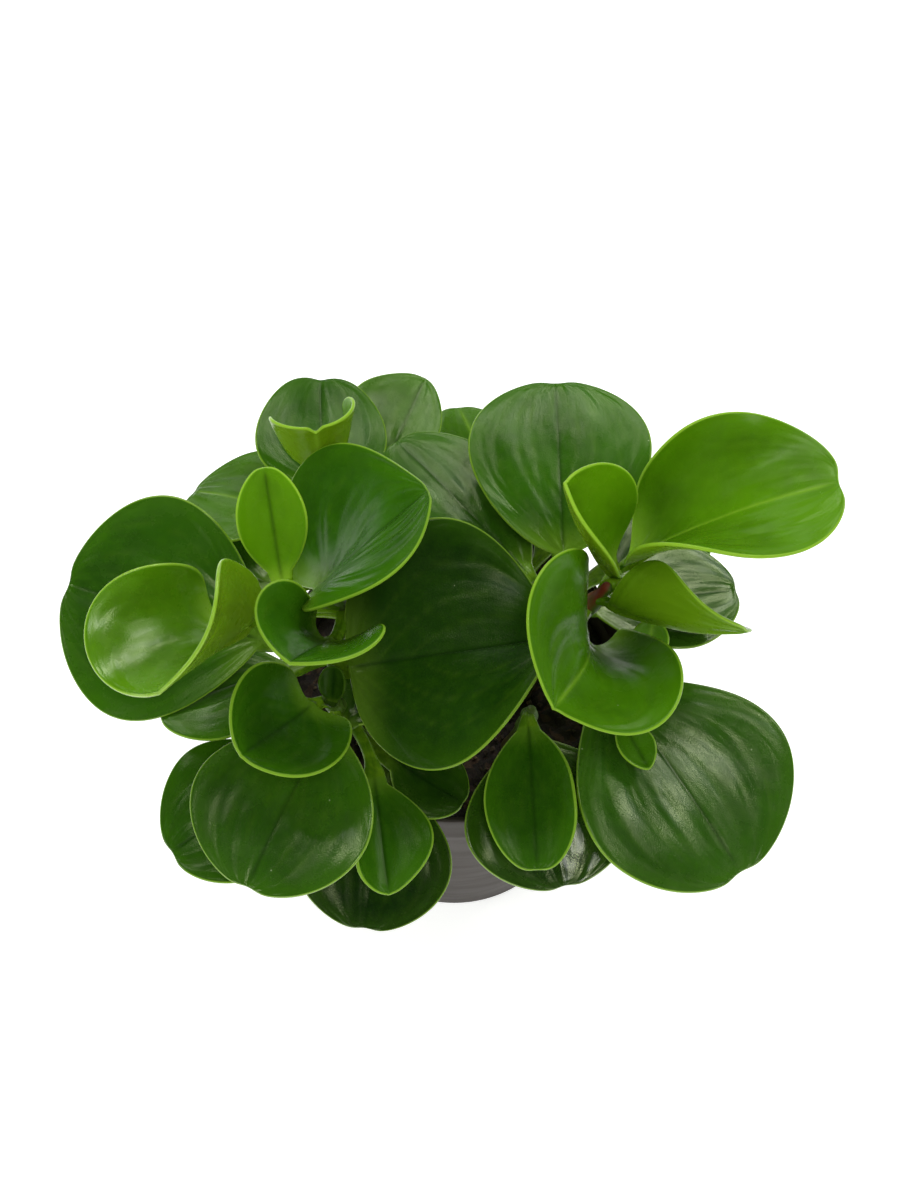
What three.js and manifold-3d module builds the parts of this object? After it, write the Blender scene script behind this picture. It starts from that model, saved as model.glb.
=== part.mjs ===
// A potted peperomia: six leafy shoots with thick, cupped leaves in a round nursery pot filled with soil.
// Millimetres, +Z up. The pot stands on z = 0, the origin is the centre of its underside, -Y is the front.
import * as THREE from "three";
import { mergeVertices } from "three/addons/utils/BufferGeometryUtils.js";
import Module from "manifold-3d";

const wasm = await Module();
wasm.setup();

// Pot
const POT_HEIGHT = 95;
const FOOT_RADIUS = 42;
const NECK_RADIUS = 53.4;
const RIM_RADIUS = 57;
const WALL = 1.8;
const COLLAR_HEIGHT = 12.5;
const EDGE = 1.2;
const DRAFT = 0.3;
const LIP = 0.5;
const STEP_HEIGHT = 1;
const FLOOR = 2.4;
const POT_SEGMENTS = 48;
const DRAIN_COUNT = 8;
const DRAIN_CIRCLE = 29;
const DRAIN_RADIUS = 4.5;
const PEG_SIDES = 12;

// Soil
const SOIL_TOP = 84;
const SOIL_GAP = 0.4;
const SOIL_BUMP = 1.1;
const SOIL_STAGGER = 1.6;
const SOIL_SINK = 0.8;
const SOIL_SPREAD = 0.6;
const SOIL_RINGS = 6;
const SOIL_SEGMENTS = 32;
const SOIL_SEED = 5;

// Stems and petioles
const STEM_RADIUS = 3.3;
const STEM_TIP_RADIUS = 2.3;
const STEM_SIDES = 7;
const STEM_STEPS = 5;
const STEM_DEPTH = 17;
const HOLE_GAP = 0.4;
const HOLE_DEPTH = 20;
const PETIOLE_RADIUS = 1.9;
const YOUNG_LENGTH = 20;
const YOUNG_PETIOLE = 0.6;
const PETIOLE_BEND = 0.5;
const PETIOLE_SIDES = 5;
const PETIOLE_STEPS = 2;
const KEEL_REACH = 0.13;
const KEEL_RADIUS = 0.7;
const KEEL_DROP = 0.37;

// Blades
const BLADE_THICKNESS = 1.5;
const NOTCH_FROM = 0.7;
const NOTCH_REACH = 0.07;
const FLAT_STEPS = { along: 8, across: 6 };
const CUPPED_STEPS = { along: 9, across: 8 };
const CUPPED_FROM = 45;

// Corners nearer than this are one corner
const WELD = 0.004;

// Colours
const POT_COLOUR = "#7a7370";
const SOIL_COLOUR = "#33261d";
const LEAF_COLOUR = "#3f7d1c";

// Each stem is a curve through the soil surface, a control point and the tip.
const STEMS = {
  A: [[-18, -2, 84], [-26, -4, 118], [-35, -12, 149]],
  B: [[-26, -20, 84], [-34, -26, 108], [-38, -33, 127]],
  C: [[22, -4, 84], [32, -6, 120], [45, -10, 153]],
  D: [[-22, 26, 84], [-38, 36, 112], [-43, 43, 140]],
  E: [[18, -26, 84], [22, -28, 100], [23, -31, 118]],
  F: [[8, 24, 84], [14, 26, 100], [20, 20, 121]],
};

// One entry a leaf. "node" is how far up the stem its petiole leaves it, "base" is where the blade starts,
// "compass" is the way it points (0 is +X, 90 is +Y) and "rise" how steeply it points up, both in degrees.
// "roll" lifts its left side, "bow" bends its midrib down towards the tip, and "cup" turns up its left and
// right margins. Length, width and base are in millimetres. The rest are shares: "peak" is where the blade is
// widest, "foot" how full it is at the base (0 is square, 1 is pointed), "flare" how much tighter the cup is
// there, "skew" how much wider the left half is, "lobe" how far the margins sweep back past the base, and
// "notch" how deep the dent in the tip is. "tip" is how pointed the tip is (0.5 is round). "twist" is the
// change of roll from base to tip and "fold" the crease along the midrib at the tip, both in degrees.
const LEAF_DEFAULTS = {
  rise: 0, roll: 0, twist: 0, bow: 0, fold: 0,
  peak: 0.56, foot: 0.7, tip: 0.5, flare: 0.25, skew: 0, lobe: 0, notch: 0.02,
};

const LEAVES = {
  A: [
    {
      base: [-40.7, -9.8, 148.3], node: 0.93, compass: 30.7, rise: 30, roll: -42.5, twist: 42,
      length: 45.7, width: 78, bow: 7, cup: [41, -25], fold: 6, peak: 0.5, foot: 0.3, tip: 0.84,
      flare: 0.52, skew: 0.23, lobe: 0.42,
    },
    {
      base: [-51, -5, 147], node: 0.9, compass: 101, rise: 45,
      length: 35, width: 23, bow: 5, cup: [20, 30], fold: 18, tip: 0.6,
    },
    {
      base: [-35.8, -26.1, 147], node: 0.88, compass: 249, rise: 44, roll: 4, twist: -10,
      length: 34, width: 48, bow: 7, cup: [49, 120], fold: 13, peak: 0.62, foot: 0.15, tip: 1.27,
      flare: 0.9, lobe: 0.36,
    },
    {
      base: [-61.2, -18.6, 144], node: 0.8, compass: 242, rise: 26, roll: 49, twist: -1,
      length: 45, width: 74.5, cup: [84, 130], fold: 10, foot: 0.3, tip: 0.96,
      flare: 0.9, skew: -0.12, lobe: 0.5,
    },
    {
      base: [-58, -13, 128], node: 0.6, compass: 166, rise: 8, roll: -28,
      length: 64, width: 70, bow: 10, cup: [-5, 25], foot: 0.6,
    },
    {
      base: [-31.2, -27, 134.7], node: 0.6, compass: 4, rise: 9, roll: 14.5, twist: -36.5,
      length: 61.5, width: 77, bow: -6, cup: [19, -10], fold: 26, peak: 0.51, foot: 0.37, tip: 0.62,
      skew: 0.05, lobe: 0.07,
    },
    {
      base: [-50, -14, 114], node: 0.45, compass: 204, rise: 2,
      length: 44, width: 36, bow: 20, cup: [10, 10],
    },
  ],
  B: [
    {
      base: [-36, -35, 128], node: 0.98, compass: 80, rise: 64,
      length: 13, width: 10, cup: [70, 70],
    },
    {
      base: [-42, -35, 126.5], node: 0.9, compass: 238, rise: 30, roll: -18, twist: -15,
      length: 38, width: 43, bow: -12, cup: [43, 66], fold: 4, peak: 0.58, foot: 0.24, tip: 0.87,
      flare: 0.15, lobe: 0.5,
    },
    {
      base: [-37, -37, 118], node: 0.8, compass: 245, rise: -10,
      length: 55, width: 56, bow: 25, cup: [15, 15], foot: 0.6,
    },
    {
      base: [-43, -44, 109], node: 0.6, compass: 214, rise: -8,
      length: 50, width: 48, bow: 20, cup: [10, 10],
    },
    {
      base: [-33, -35, 115], node: 0.7, compass: 50, rise: 14,
      length: 25, width: 22, cup: [15, 15],
    },
    {
      base: [-24, -50, 110], node: 0.65, compass: 278, rise: -8,
      length: 37, width: 31, cup: [20, 115], fold: 6, tip: 0.85,
    },
    {
      base: [-21, -44, 102], node: 0.35, compass: 262, rise: -25,
      length: 48, width: 48, bow: 25, cup: [10, 10],
    },
    {
      base: [-20, -41, 106], node: 0.45, compass: 330, rise: -10,
      length: 27, width: 24, cup: [0, 0],
    },
  ],
  C: [
    {
      base: [34, 19, 128], node: 0.6, compass: 91, rise: 15,
      length: 62, width: 59, bow: 25, cup: [15, 15], foot: 0.6,
    },
    {
      base: [49.8, -0.3, 149.4], node: 0.95, compass: 2, rise: 32, roll: -22, twist: 42,
      length: 69, width: 67, bow: 19, cup: [106, 37], peak: 0.49, foot: 0.71, tip: 0.45, flare: 0.9,
    },
    {
      base: [47.7, -5.7, 151.9], node: 0.98, compass: 163, rise: 63, roll: 20, twist: -32,
      length: 41.5, width: 35, bow: -35, cup: [41, 57], fold: 25, foot: 0.69, tip: 0.62,
      flare: 0.82, skew: -0.3, lobe: 0.22,
    },
    {
      base: [45.2, -11.7, 146.8], node: 0.86, compass: 334, rise: 16, roll: -51, twist: -15,
      length: 44, width: 60, bow: -35, cup: [2, 130], fold: 10, peak: 0.45, foot: 0.98, tip: 0.71,
      flare: 0.9, skew: 0.22, lobe: 0.45,
    },
    {
      base: [37.2, -17.1, 139.5], node: 0.82, compass: 254, rise: 27.5, roll: -57, twist: 42,
      length: 50, width: 66, bow: 49, cup: [130, 24], fold: 2, foot: 0.16, tip: 1.3,
      flare: 0.9, lobe: 0.5,
    },
    {
      base: [45, -16, 112], node: 0.45, compass: 304, rise: -13, roll: -5,
      length: 74, width: 74, bow: 20, cup: [15, 15], peak: 0.58,
    },
    {
      base: [49, -33.5, 118], node: 0.5, compass: 294, rise: -2,
      length: 20, width: 12, cup: [30, 30], tip: 0.8,
    },
    {
      base: [42, 6, 117.5], node: 0.45, compass: 6, rise: 3,
      length: 48, width: 42, bow: 12, cup: [10, 10],
    },
    {
      base: [57.5, -18.5, 125], node: 0.6, compass: 76, rise: 58,
      length: 14, width: 12, cup: [30, 30],
    },
    {
      base: [48, 24, 112], node: 0.35, compass: 30, rise: -3,
      length: 40, width: 34, bow: 12, cup: [10, 10],
    },
  ],
  D: [
    {
      base: [-43.4, 47.4, 124.2], node: 0.75, compass: 93, rise: 5, roll: 4.5, twist: 4.5,
      length: 47, width: 44, bow: 5, cup: [5, 5], fold: 8, peak: 0.47, foot: 0.99, tip: 0.38, lobe: 0.2,
    },
    {
      base: [-42.5, 43, 141], node: 0.93, compass: 272, rise: 86, roll: 6,
      length: 22, width: 43, bow: 10, cup: [112, 97], skew: 0.08, notch: 0.12,
    },
    {
      base: [-26.4, 57, 115], node: 0.6, compass: 69.5, rise: 8.5, roll: 14, twist: 6,
      length: 49, width: 33, bow: 8.5, cup: [15, 5], foot: 0.85, tip: 0.66, skew: 0.25,
    },
    {
      base: [-52.4, 45, 116.2], node: 0.55, compass: 160, rise: -8, roll: 8, twist: 8,
      length: 39, width: 48, bow: 14, cup: [10, 10.5], tip: 0.42,
    },
    {
      base: [-30, 48, 106], node: 0.4, compass: 100, rise: -4,
      length: 42, width: 40, bow: 12, cup: [10, 10],
    },
    {
      base: [-60, 22, 108], node: 0.4, compass: 165, rise: -6,
      length: 36, width: 38, bow: 12, cup: [10, 10],
    },
  ],
  E: [
    {
      base: [22, -34, 116], node: 0.88, compass: 272, rise: -9,
      length: 47, width: 30, cup: [70, 25],
    },
    {
      base: [22, -34, 108], node: 0.6, compass: 284, rise: -20,
      length: 48, width: 53, bow: 20, cup: [15, 15],
    },
  ],
  F: [
    {
      base: [23.6, 14.4, 122.8], node: 0.95, compass: 129, rise: 3,
      length: 69.5, width: 42, bow: 8, cup: [15, 15],
    },
    {
      base: [16.4, 54.1, 105.2], node: 0.5, compass: 108, rise: 1.5, roll: 12,
      length: 51, width: 35, bow: 15.5, cup: [25, 9],
    },
    {
      base: [30, 40, 104], node: 0.4, compass: 70, rise: -3,
      length: 45, width: 42, bow: 12, cup: [10, 10],
    },
  ],
};

const vec = (p) => new THREE.Vector3(...p);
const clamp01 = (x) => Math.min(1, Math.max(0, x));
const rollAt = (leaf, s) => THREE.MathUtils.degToRad(leaf.roll + leaf.twist * (s - 0.5));

// Half width of the blade over its greatest half width, at s from base (0) to tip (1).
function outline(s, { peak, foot, tip }) {
  if (s <= 0 || s >= 1) return 0;
  const power = Math.log(0.5) / Math.log(peak);
  const wave = Math.sin(Math.PI * Math.pow(s, power));
  return Math.pow(wave, foot + (tip - foot) * s);
}

// Three directions of a blade: along its midrib's chord, to its left, and out of its upper face.
function bladeAxes(leaf) {
  const compass = THREE.MathUtils.degToRad(leaf.compass);
  const rise = THREE.MathUtils.degToRad(leaf.rise);
  const ahead = new THREE.Vector3(
    Math.cos(compass) * Math.cos(rise),
    Math.sin(compass) * Math.cos(rise),
    Math.sin(rise),
  );
  const left = new THREE.Vector3(-Math.sin(compass), Math.cos(compass), 0);
  const face = ahead.clone().cross(left);
  return { ahead, left, face };
}

// A point of the blade's middle surface: the midrib is an arc that turns by "bow", and each cross section
// is two arcs that leave the midrib at the angle of the fold, turn up by "cup" and are turned by "roll".
function bladePoint(leaf, s, t) {
  const side = Math.sign(t);
  const greatest = leaf.width / 2;
  const half = greatest * outline(s, leaf);
  const reach = Math.abs(t) * half * (1 + leaf.skew * side);

  const dent = leaf.notch * Math.pow(clamp01((s - NOTCH_FROM) / (1 - NOTCH_FROM)), 2);
  const nearMidrib = Math.exp(-Math.pow(reach / (NOTCH_REACH * leaf.length), 2));
  const sweep = leaf.lobe * Math.pow(reach / greatest, 2) * Math.pow(1 - s, 2);
  const along = s - dent * nearMidrib - sweep;

  const bow = THREE.MathUtils.degToRad(leaf.bow);
  const bent = Math.abs(bow) > 1e-4;
  const slope = bent ? bow * (0.5 - along) : 0;
  const forward = bent
    ? (leaf.length / bow) * (Math.sin(bow / 2) - Math.sin(slope))
    : along * leaf.length;
  const lift = bent ? (leaf.length / bow) * (Math.cos(slope) - Math.cos(bow / 2)) : 0;

  const cup = leaf.cup[t > 0 ? 0 : 1];
  const curve = (THREE.MathUtils.degToRad(cup) / greatest) * (1 + leaf.flare * (1 - 2 * s));
  const turn = curve * reach;
  const fold = THREE.MathUtils.degToRad(leaf.fold) * Math.sin((Math.PI * s) / 2);
  const end = fold + turn;
  const straight = Math.abs(turn) < 1e-6;
  const sideways = side * (straight ? reach * Math.cos(fold) : (Math.sin(end) - Math.sin(fold)) / curve);
  const upward = straight ? reach * Math.sin(fold) : (Math.cos(fold) - Math.cos(end)) / curve;

  const { ahead, left, face } = bladeAxes(leaf);
  const roll = rollAt(leaf, s);
  const across = left.clone().multiplyScalar(Math.cos(roll)).addScaledVector(face, Math.sin(roll));
  const normal = face.clone().multiplyScalar(Math.cos(roll)).addScaledVector(left, -Math.sin(roll));
  const local = normal.clone().multiplyScalar(Math.cos(slope)).addScaledVector(ahead, -Math.sin(slope));

  return vec(leaf.base)
    .addScaledVector(ahead, forward)
    .addScaledVector(normal, lift)
    .addScaledVector(across, sideways)
    .addScaledVector(local, upward);
}

// A closed solid from a geometry, for the joins and cuts below.
function solidOf(geometry) {
  const bare = geometry.clone();
  bare.deleteAttribute("normal");
  bare.deleteAttribute("uv");
  const merged = mergeVertices(bare, 1e-4);
  return new wasm.Manifold(
    new wasm.Mesh({
      numProp: 3,
      vertProperties: new Float32Array(merged.attributes.position.array),
      triVerts: new Uint32Array(merged.index.array),
    }),
  );
}

function geometryFrom(points, triangles) {
  const geometry = new THREE.BufferGeometry();
  geometry.setAttribute("position", new THREE.Float32BufferAttribute(points.flatMap((p) => p.toArray()), 3));
  geometry.setIndex(triangles.flat());
  return geometry;
}

// The mesh of a solid, with the corners that a join left almost on each other made one.
function weldedGeometry(solid) {
  const made = solid.getMesh();
  const geometry = new THREE.BufferGeometry();
  geometry.setAttribute("position", new THREE.BufferAttribute(new Float32Array(made.vertProperties), 3));
  geometry.setIndex(new THREE.BufferAttribute(new Uint32Array(made.triVerts), 1));
  const welded = mergeVertices(geometry, WELD);
  const corners = welded.index.array;
  const kept = [];
  for (let i = 0; i < corners.length; i += 3) {
    const [a, b, c] = [corners[i], corners[i + 1], corners[i + 2]];
    if (a !== b && b !== c && c !== a) kept.push(a, b, c);
  }
  welded.setIndex(kept);
  return welded;
}

function meshFrom(name, solid, colour) {
  const geometry = weldedGeometry(solid);
  geometry.computeVertexNormals();
  const mesh = new THREE.Mesh(
    geometry,
    new THREE.MeshStandardMaterial({ color: colour, roughness: 0.6, flatShading: true }),
  );
  mesh.name = name;
  return mesh;
}

// A blade as a thick sheet: rows of middle points with one point at the base and one at the tip, moved half
// the thickness to either side, both faces split alike, and a narrow rim between them.
function bladeSolid(leaf) {
  const steps = Math.max(...leaf.cup) > CUPPED_FROM ? CUPPED_STEPS : FLAT_STEPS;
  const middle = [bladePoint(leaf, 0, 0)];
  const row = (i, j) => 1 + (i - 1) * (steps.across + 1) + j;
  for (let i = 1; i < steps.along; i++) {
    const even = i / steps.along;
    const s = 0.5 * even + 0.5 * (0.5 - 0.5 * Math.cos(Math.PI * even));
    for (let j = 0; j <= steps.across; j++) middle.push(bladePoint(leaf, s, (2 * j) / steps.across - 1));
  }
  const last = middle.length;
  middle.push(bladePoint(leaf, 1, 0));

  const faces = [];
  for (let j = 0; j < steps.across; j++) {
    faces.push([0, row(1, j), row(1, j + 1)]);
    for (let i = 1; i < steps.along - 1; i++) {
      const [a, b, c, d] = [row(i, j), row(i + 1, j), row(i + 1, j + 1), row(i, j + 1)];
      if (2 * j < steps.across) faces.push([a, b, d], [b, c, d]);
      else faces.push([a, b, c], [a, c, d]);
    }
    faces.push([row(steps.along - 1, j), last, row(steps.along - 1, j + 1)]);
  }

  const normals = middle.map(() => new THREE.Vector3());
  for (const [a, b, c] of faces) {
    const edge = middle[b].clone().sub(middle[a]);
    const area = edge.cross(middle[c].clone().sub(middle[a]));
    for (const k of [a, b, c]) normals[k].add(area);
  }
  const shift = BLADE_THICKNESS / 2;
  const upper = middle.map((p, k) => p.clone().addScaledVector(normals[k].clone().normalize(), shift));
  const lower = middle.map((p, k) => p.clone().addScaledVector(normals[k].clone().normalize(), -shift));

  const under = middle.length;
  const triangles = faces.concat(faces.map(([a, b, c]) => [a + under, c + under, b + under]));
  for (const j of [0, steps.across]) {
    const margin = [0];
    for (let i = 1; i < steps.along; i++) margin.push(row(i, j));
    margin.push(last);
    for (let k = 0; k < margin.length - 1; k++) {
      const [a, b] = j === 0 ? [margin[k + 1], margin[k]] : [margin[k], margin[k + 1]];
      triangles.push([a, b, b + under], [a, b + under, a + under]);
    }
  }
  return solidOf(geometryFrom(upper.concat(lower), triangles));
}

// A round bar along a row of points, with a radius at each and flat ends.
function barSolid(points, radii, sides) {
  const rings = [];
  const reference = new THREE.Vector3(0.36, 0.48, 0.8);
  points.forEach((p, i) => {
    const before = points[Math.max(0, i - 1)];
    const after = points[Math.min(points.length - 1, i + 1)];
    const tangent = after.clone().sub(before).normalize();
    const u = tangent.clone().cross(reference).normalize();
    const v = tangent.clone().cross(u).normalize();
    for (let k = 0; k < sides; k++) {
      const angle = (2 * Math.PI * k) / sides;
      const outward = u.clone().multiplyScalar(Math.cos(angle)).addScaledVector(v, Math.sin(angle));
      rings.push(p.clone().addScaledVector(outward, radii[i]));
    }
    reference.copy(v.clone().cross(tangent)).negate();
  });
  const triangles = [];
  const end = (points.length - 1) * sides;
  for (let k = 0; k < sides; k++) {
    const next = (k + 1) % sides;
    for (let i = 0; i < points.length - 1; i++) {
      const [a, b] = [i * sides + k, i * sides + next];
      triangles.push([a, b, b + sides], [a, b + sides, a + sides]);
    }
    if (k > 0 && k < sides - 1) {
      triangles.push([0, k + 1, k]);
      triangles.push([end, end + k, end + k + 1]);
    }
  }
  const solid = solidOf(geometryFrom(rings, triangles));
  if (solid.volume() > 0) return solid;
  return solidOf(geometryFrom(rings, triangles.map(([a, b, c]) => [a, c, b])));
}

function stemCurve(key) {
  const [root, control, tip] = STEMS[key].map(vec);
  return new THREE.QuadraticBezierCurve3(root.clone().setZ(SOIL_TOP + 2), control, tip);
}

// The stem: a straight root end that stands in the soil, then the curve up to the tip.
function stemSolid(key) {
  const curve = stemCurve(key);
  const root = vec(STEMS[key][0]);
  const points = [root.clone().setZ(SOIL_TOP - STEM_DEPTH), root.clone().setZ(SOIL_TOP + 1)];
  const radii = [STEM_RADIUS, STEM_RADIUS];
  for (let i = 1; i <= STEM_STEPS; i++) {
    const h = i / STEM_STEPS;
    points.push(curve.getPoint(h));
    radii.push(STEM_RADIUS + (STEM_TIP_RADIUS - STEM_RADIUS) * h);
  }
  return barSolid(points, radii, STEM_SIDES);
}

// The petiole leaves the stem, bends into the line of the midrib and runs on under the blade as its keel.
function petioleSolid(key, leaf) {
  const start = stemCurve(key).getPoint(leaf.node);
  const base = bladePoint(leaf, 0, 0);
  const inBlade = bladePoint(leaf, 0.02, 0).sub(base).normalize();
  base.z -= KEEL_DROP;
  const bend = base.clone().addScaledVector(inBlade, -PETIOLE_BEND * start.distanceTo(base));
  const curve = new THREE.QuadraticBezierCurve3(start, bend, base);
  const thick = leaf.length > YOUNG_LENGTH ? PETIOLE_RADIUS : YOUNG_PETIOLE * PETIOLE_RADIUS;
  const points = [];
  const radii = [];
  for (let i = 0; i <= PETIOLE_STEPS; i++) {
    points.push(curve.getPoint(i / PETIOLE_STEPS));
    radii.push(thick);
  }
  const { left } = bladeAxes(leaf);
  const ahead = bladePoint(leaf, KEEL_REACH, 0).sub(bladePoint(leaf, 0, 0)).normalize();
  const below = left.clone().cross(ahead).applyAxisAngle(ahead, rollAt(leaf, KEEL_REACH)).normalize();
  points.push(bladePoint(leaf, KEEL_REACH, 0).addScaledVector(below, 0.5 * BLADE_THICKNESS));
  radii.push(KEEL_RADIUS);
  return barSolid(points, radii, PETIOLE_SIDES);
}

function shootSolid(key) {
  let shoot = stemSolid(key);
  for (const given of LEAVES[key]) {
    const leaf = { ...LEAF_DEFAULTS, ...given };
    shoot = shoot.add(petioleSolid(key, leaf));
    shoot = shoot.add(bladeSolid(leaf));
  }
  return shoot;
}

// A straight round peg between two heights, used for the stem holes and the drain holes.
function pegSolid(x, y, low, high, radius) {
  const peg = new THREE.CylinderGeometry(radius, radius, high - low, PEG_SIDES);
  peg.rotateX(Math.PI / 2);
  peg.translate(x, y, (low + high) / 2);
  return solidOf(peg);
}

// The pot is one turned wall with a floor, a plain collar round the rim and drain holes.
function potSolid() {
  const collarFoot = POT_HEIGHT - COLLAR_HEIGHT;
  const inner = NECK_RADIUS - WALL;
  const profile = [
    [0, 0],
    [FOOT_RADIUS - EDGE, 0],
    [FOOT_RADIUS, EDGE],
    [NECK_RADIUS, collarFoot - STEP_HEIGHT],
    [RIM_RADIUS - EDGE, collarFoot],
    [RIM_RADIUS - DRAFT, collarFoot + EDGE],
    [RIM_RADIUS, POT_HEIGHT - EDGE],
    [RIM_RADIUS - LIP, POT_HEIGHT],
    [RIM_RADIUS - WALL + DRAFT, POT_HEIGHT],
    [RIM_RADIUS - WALL, POT_HEIGHT - LIP],
    [RIM_RADIUS - WALL - LIP, collarFoot + 2 * STEP_HEIGHT],
    [inner, collarFoot - STEP_HEIGHT],
    [FOOT_RADIUS - WALL, FLOOR],
    [0, FLOOR],
  ].map(([r, z]) => new THREE.Vector2(r, z));
  const turned = new THREE.LatheGeometry(profile, POT_SEGMENTS);
  turned.rotateX(Math.PI / 2);
  let pot = solidOf(turned);
  if (pot.volume() < 0) throw new Error("the pot's profile is inside out");
  for (let k = 0; k < DRAIN_COUNT; k++) {
    const angle = (2 * Math.PI * (k + 0.5)) / DRAIN_COUNT;
    const [x, y] = [DRAIN_CIRCLE * Math.cos(angle), DRAIN_CIRCLE * Math.sin(angle)];
    pot = pot.subtract(pegSolid(x, y, -1, FLOOR + 1, DRAIN_RADIUS));
  }
  return pot;
}

function randomFrom(seed) {
  let state = seed;
  return () => {
    state = (state * 16807) % 2147483647;
    return state / 2147483647;
  };
}

// The soil fills the pot and has an uneven top, with a plain hole for each stem.
function soilSolid() {
  const random = randomFrom(SOIL_SEED);
  const collarFoot = POT_HEIGHT - COLLAR_HEIGHT;
  const neck = NECK_RADIUS - WALL - SOIL_GAP;
  const edge = neck + SOIL_SPREAD;
  const points = [new THREE.Vector3(0, 0, SOIL_TOP)];
  for (let i = 1; i <= SOIL_RINGS; i++) {
    for (let k = 0; k < SOIL_SEGMENTS; k++) {
      const angle = (2 * Math.PI * k) / SOIL_SEGMENTS;
      const outer = i === SOIL_RINGS;
      const radius = (edge * i) / SOIL_RINGS + (outer ? 0 : SOIL_STAGGER * (random() - 0.5));
      const height = SOIL_TOP + SOIL_BUMP * (random() - 0.5) - (outer ? SOIL_SINK : 0);
      points.push(new THREE.Vector3(radius * Math.cos(angle), radius * Math.sin(angle), height));
    }
  }
  const low = FLOOR + SOIL_GAP;
  const shoulder = [neck, collarFoot - STEP_HEIGHT - SOIL_GAP];
  const foot = [FOOT_RADIUS - WALL - SOIL_GAP, low];
  for (const [radius, z] of [shoulder, foot]) {
    for (let k = 0; k < SOIL_SEGMENTS; k++) {
      const angle = (2 * Math.PI * k) / SOIL_SEGMENTS;
      points.push(new THREE.Vector3(radius * Math.cos(angle), radius * Math.sin(angle), z));
    }
  }
  const bottom = points.length;
  points.push(new THREE.Vector3(0, 0, low));
  const ring = (i, k) => 1 + (i - 1) * SOIL_SEGMENTS + (k % SOIL_SEGMENTS);
  const triangles = [];
  for (let k = 0; k < SOIL_SEGMENTS; k++) {
    triangles.push([0, ring(1, k), ring(1, k + 1)]);
    for (let i = 1; i < SOIL_RINGS + 2; i++) {
      const [a, b, c, d] = [ring(i, k), ring(i + 1, k), ring(i + 1, k + 1), ring(i, k + 1)];
      triangles.push([a, b, c], [a, c, d]);
    }
    triangles.push([ring(SOIL_RINGS + 2, k), bottom, ring(SOIL_RINGS + 2, k + 1)]);
  }
  let soil = solidOf(geometryFrom(points, triangles));
  for (const [root] of Object.values(STEMS)) {
    const hole = pegSolid(root[0], root[1], SOIL_TOP - HOLE_DEPTH, SOIL_TOP + 6, STEM_RADIUS + HOLE_GAP);
    soil = soil.subtract(hole);
  }
  return soil;
}

const plant = new THREE.Group();
plant.name = "potted_peperomia";
plant.add(meshFrom("pot", potSolid(), POT_COLOUR));
plant.add(meshFrom("soil", soilSolid(), SOIL_COLOUR));
for (const key of Object.keys(STEMS)) {
  plant.add(meshFrom("shoot_" + key.toLowerCase(), shootSolid(key), LEAF_COLOUR));
}

export default plant;
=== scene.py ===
"""A potted peperomia: thick, cupped, glossy leaves on six short stems, in a tapered nursery pot.

The file is laid out as an add-on, with its sizes and colours in property groups, one operator for each kind
of piece and a panel that lists them. Forms are worked out in millimetres, which mesh_from turns to metres.
+Z is up, -Y is the front, and the pot stands on z = 0.
"""

import math

import bpy
import numpy as np
from bpy.props import FloatProperty, FloatVectorProperty, IntProperty, PointerProperty
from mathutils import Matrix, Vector


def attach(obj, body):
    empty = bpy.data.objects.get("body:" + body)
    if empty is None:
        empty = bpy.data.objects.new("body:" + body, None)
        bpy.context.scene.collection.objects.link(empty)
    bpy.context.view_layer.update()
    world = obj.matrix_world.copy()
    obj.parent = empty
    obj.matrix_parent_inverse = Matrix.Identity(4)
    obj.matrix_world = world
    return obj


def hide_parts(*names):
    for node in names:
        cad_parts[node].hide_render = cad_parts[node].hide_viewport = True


bl_info = {
    "name": "Potted peperomia",
    "version": (1, 0, 0),
    "blender": (4, 5, 0),
    "location": "3D View > Sidebar > Peperomia",
    "description": "Builds the leaves, stems, soil and pot of a potted peperomia",
    "category": "Add Mesh",
}

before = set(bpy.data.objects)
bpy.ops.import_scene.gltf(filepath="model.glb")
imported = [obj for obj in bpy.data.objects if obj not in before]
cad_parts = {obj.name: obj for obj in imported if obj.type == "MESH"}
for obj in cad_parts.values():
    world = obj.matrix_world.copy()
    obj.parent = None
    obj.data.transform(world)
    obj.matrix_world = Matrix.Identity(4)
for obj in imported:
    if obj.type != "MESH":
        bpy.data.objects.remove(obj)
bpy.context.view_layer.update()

MM = 0.001
SEED = 11

# Pot and soil, in millimetres
POT_HEIGHT = 95
FOOT_RADIUS = 42
NECK_RADIUS = 53.4
RIM_RADIUS = 57
WALL = 1.8
COLLAR_HEIGHT = 12.5
BAND_HEIGHT = 9
EDGE = 1.2
FLOOR = 2.4
DRAIN_COUNT = 8
DRAIN_SIDES = 32
DRAIN_CIRCLE = 29
DRAIN_RADIUS = 4.5
SOIL_TOP = 84
SOIL_GAP = 0.4
SOIL_RINGS = 50
SOIL_SIDES = 240
CRUMB_COUNT = 1500
CRUMB_SPREAD = 51
CRUMB_FLOOR = -1.2
CHIP_SPREAD = 47

# Stems and petioles, in millimetres
STEM_RADIUS = 3.3
STEM_TIP_RADIUS = 2.3
STEM_DEPTH = 4
STEM_ROWS = 90
STEM_SIDES = 36
SUNK_ROWS = 5
PETIOLE_RADIUS = 1.9
PETIOLE_STEP = 1.6
PETIOLE_BEND = 0.5

# A leaf up to this length is young, and its petiole and its blade are thinner by these shares
YOUNG_LENGTH = 20
YOUNG_PETIOLE = 0.6
YOUNG_BLADE = 0.7

# The dent in a blade's tip starts at this share of the midrib, and reaches this share of its length sideways
NOTCH_FROM = 0.7
NOTCH_REACH = 0.07

# A small step along the midrib, for slopes
SLOPE_STEP = 1e-4

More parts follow.
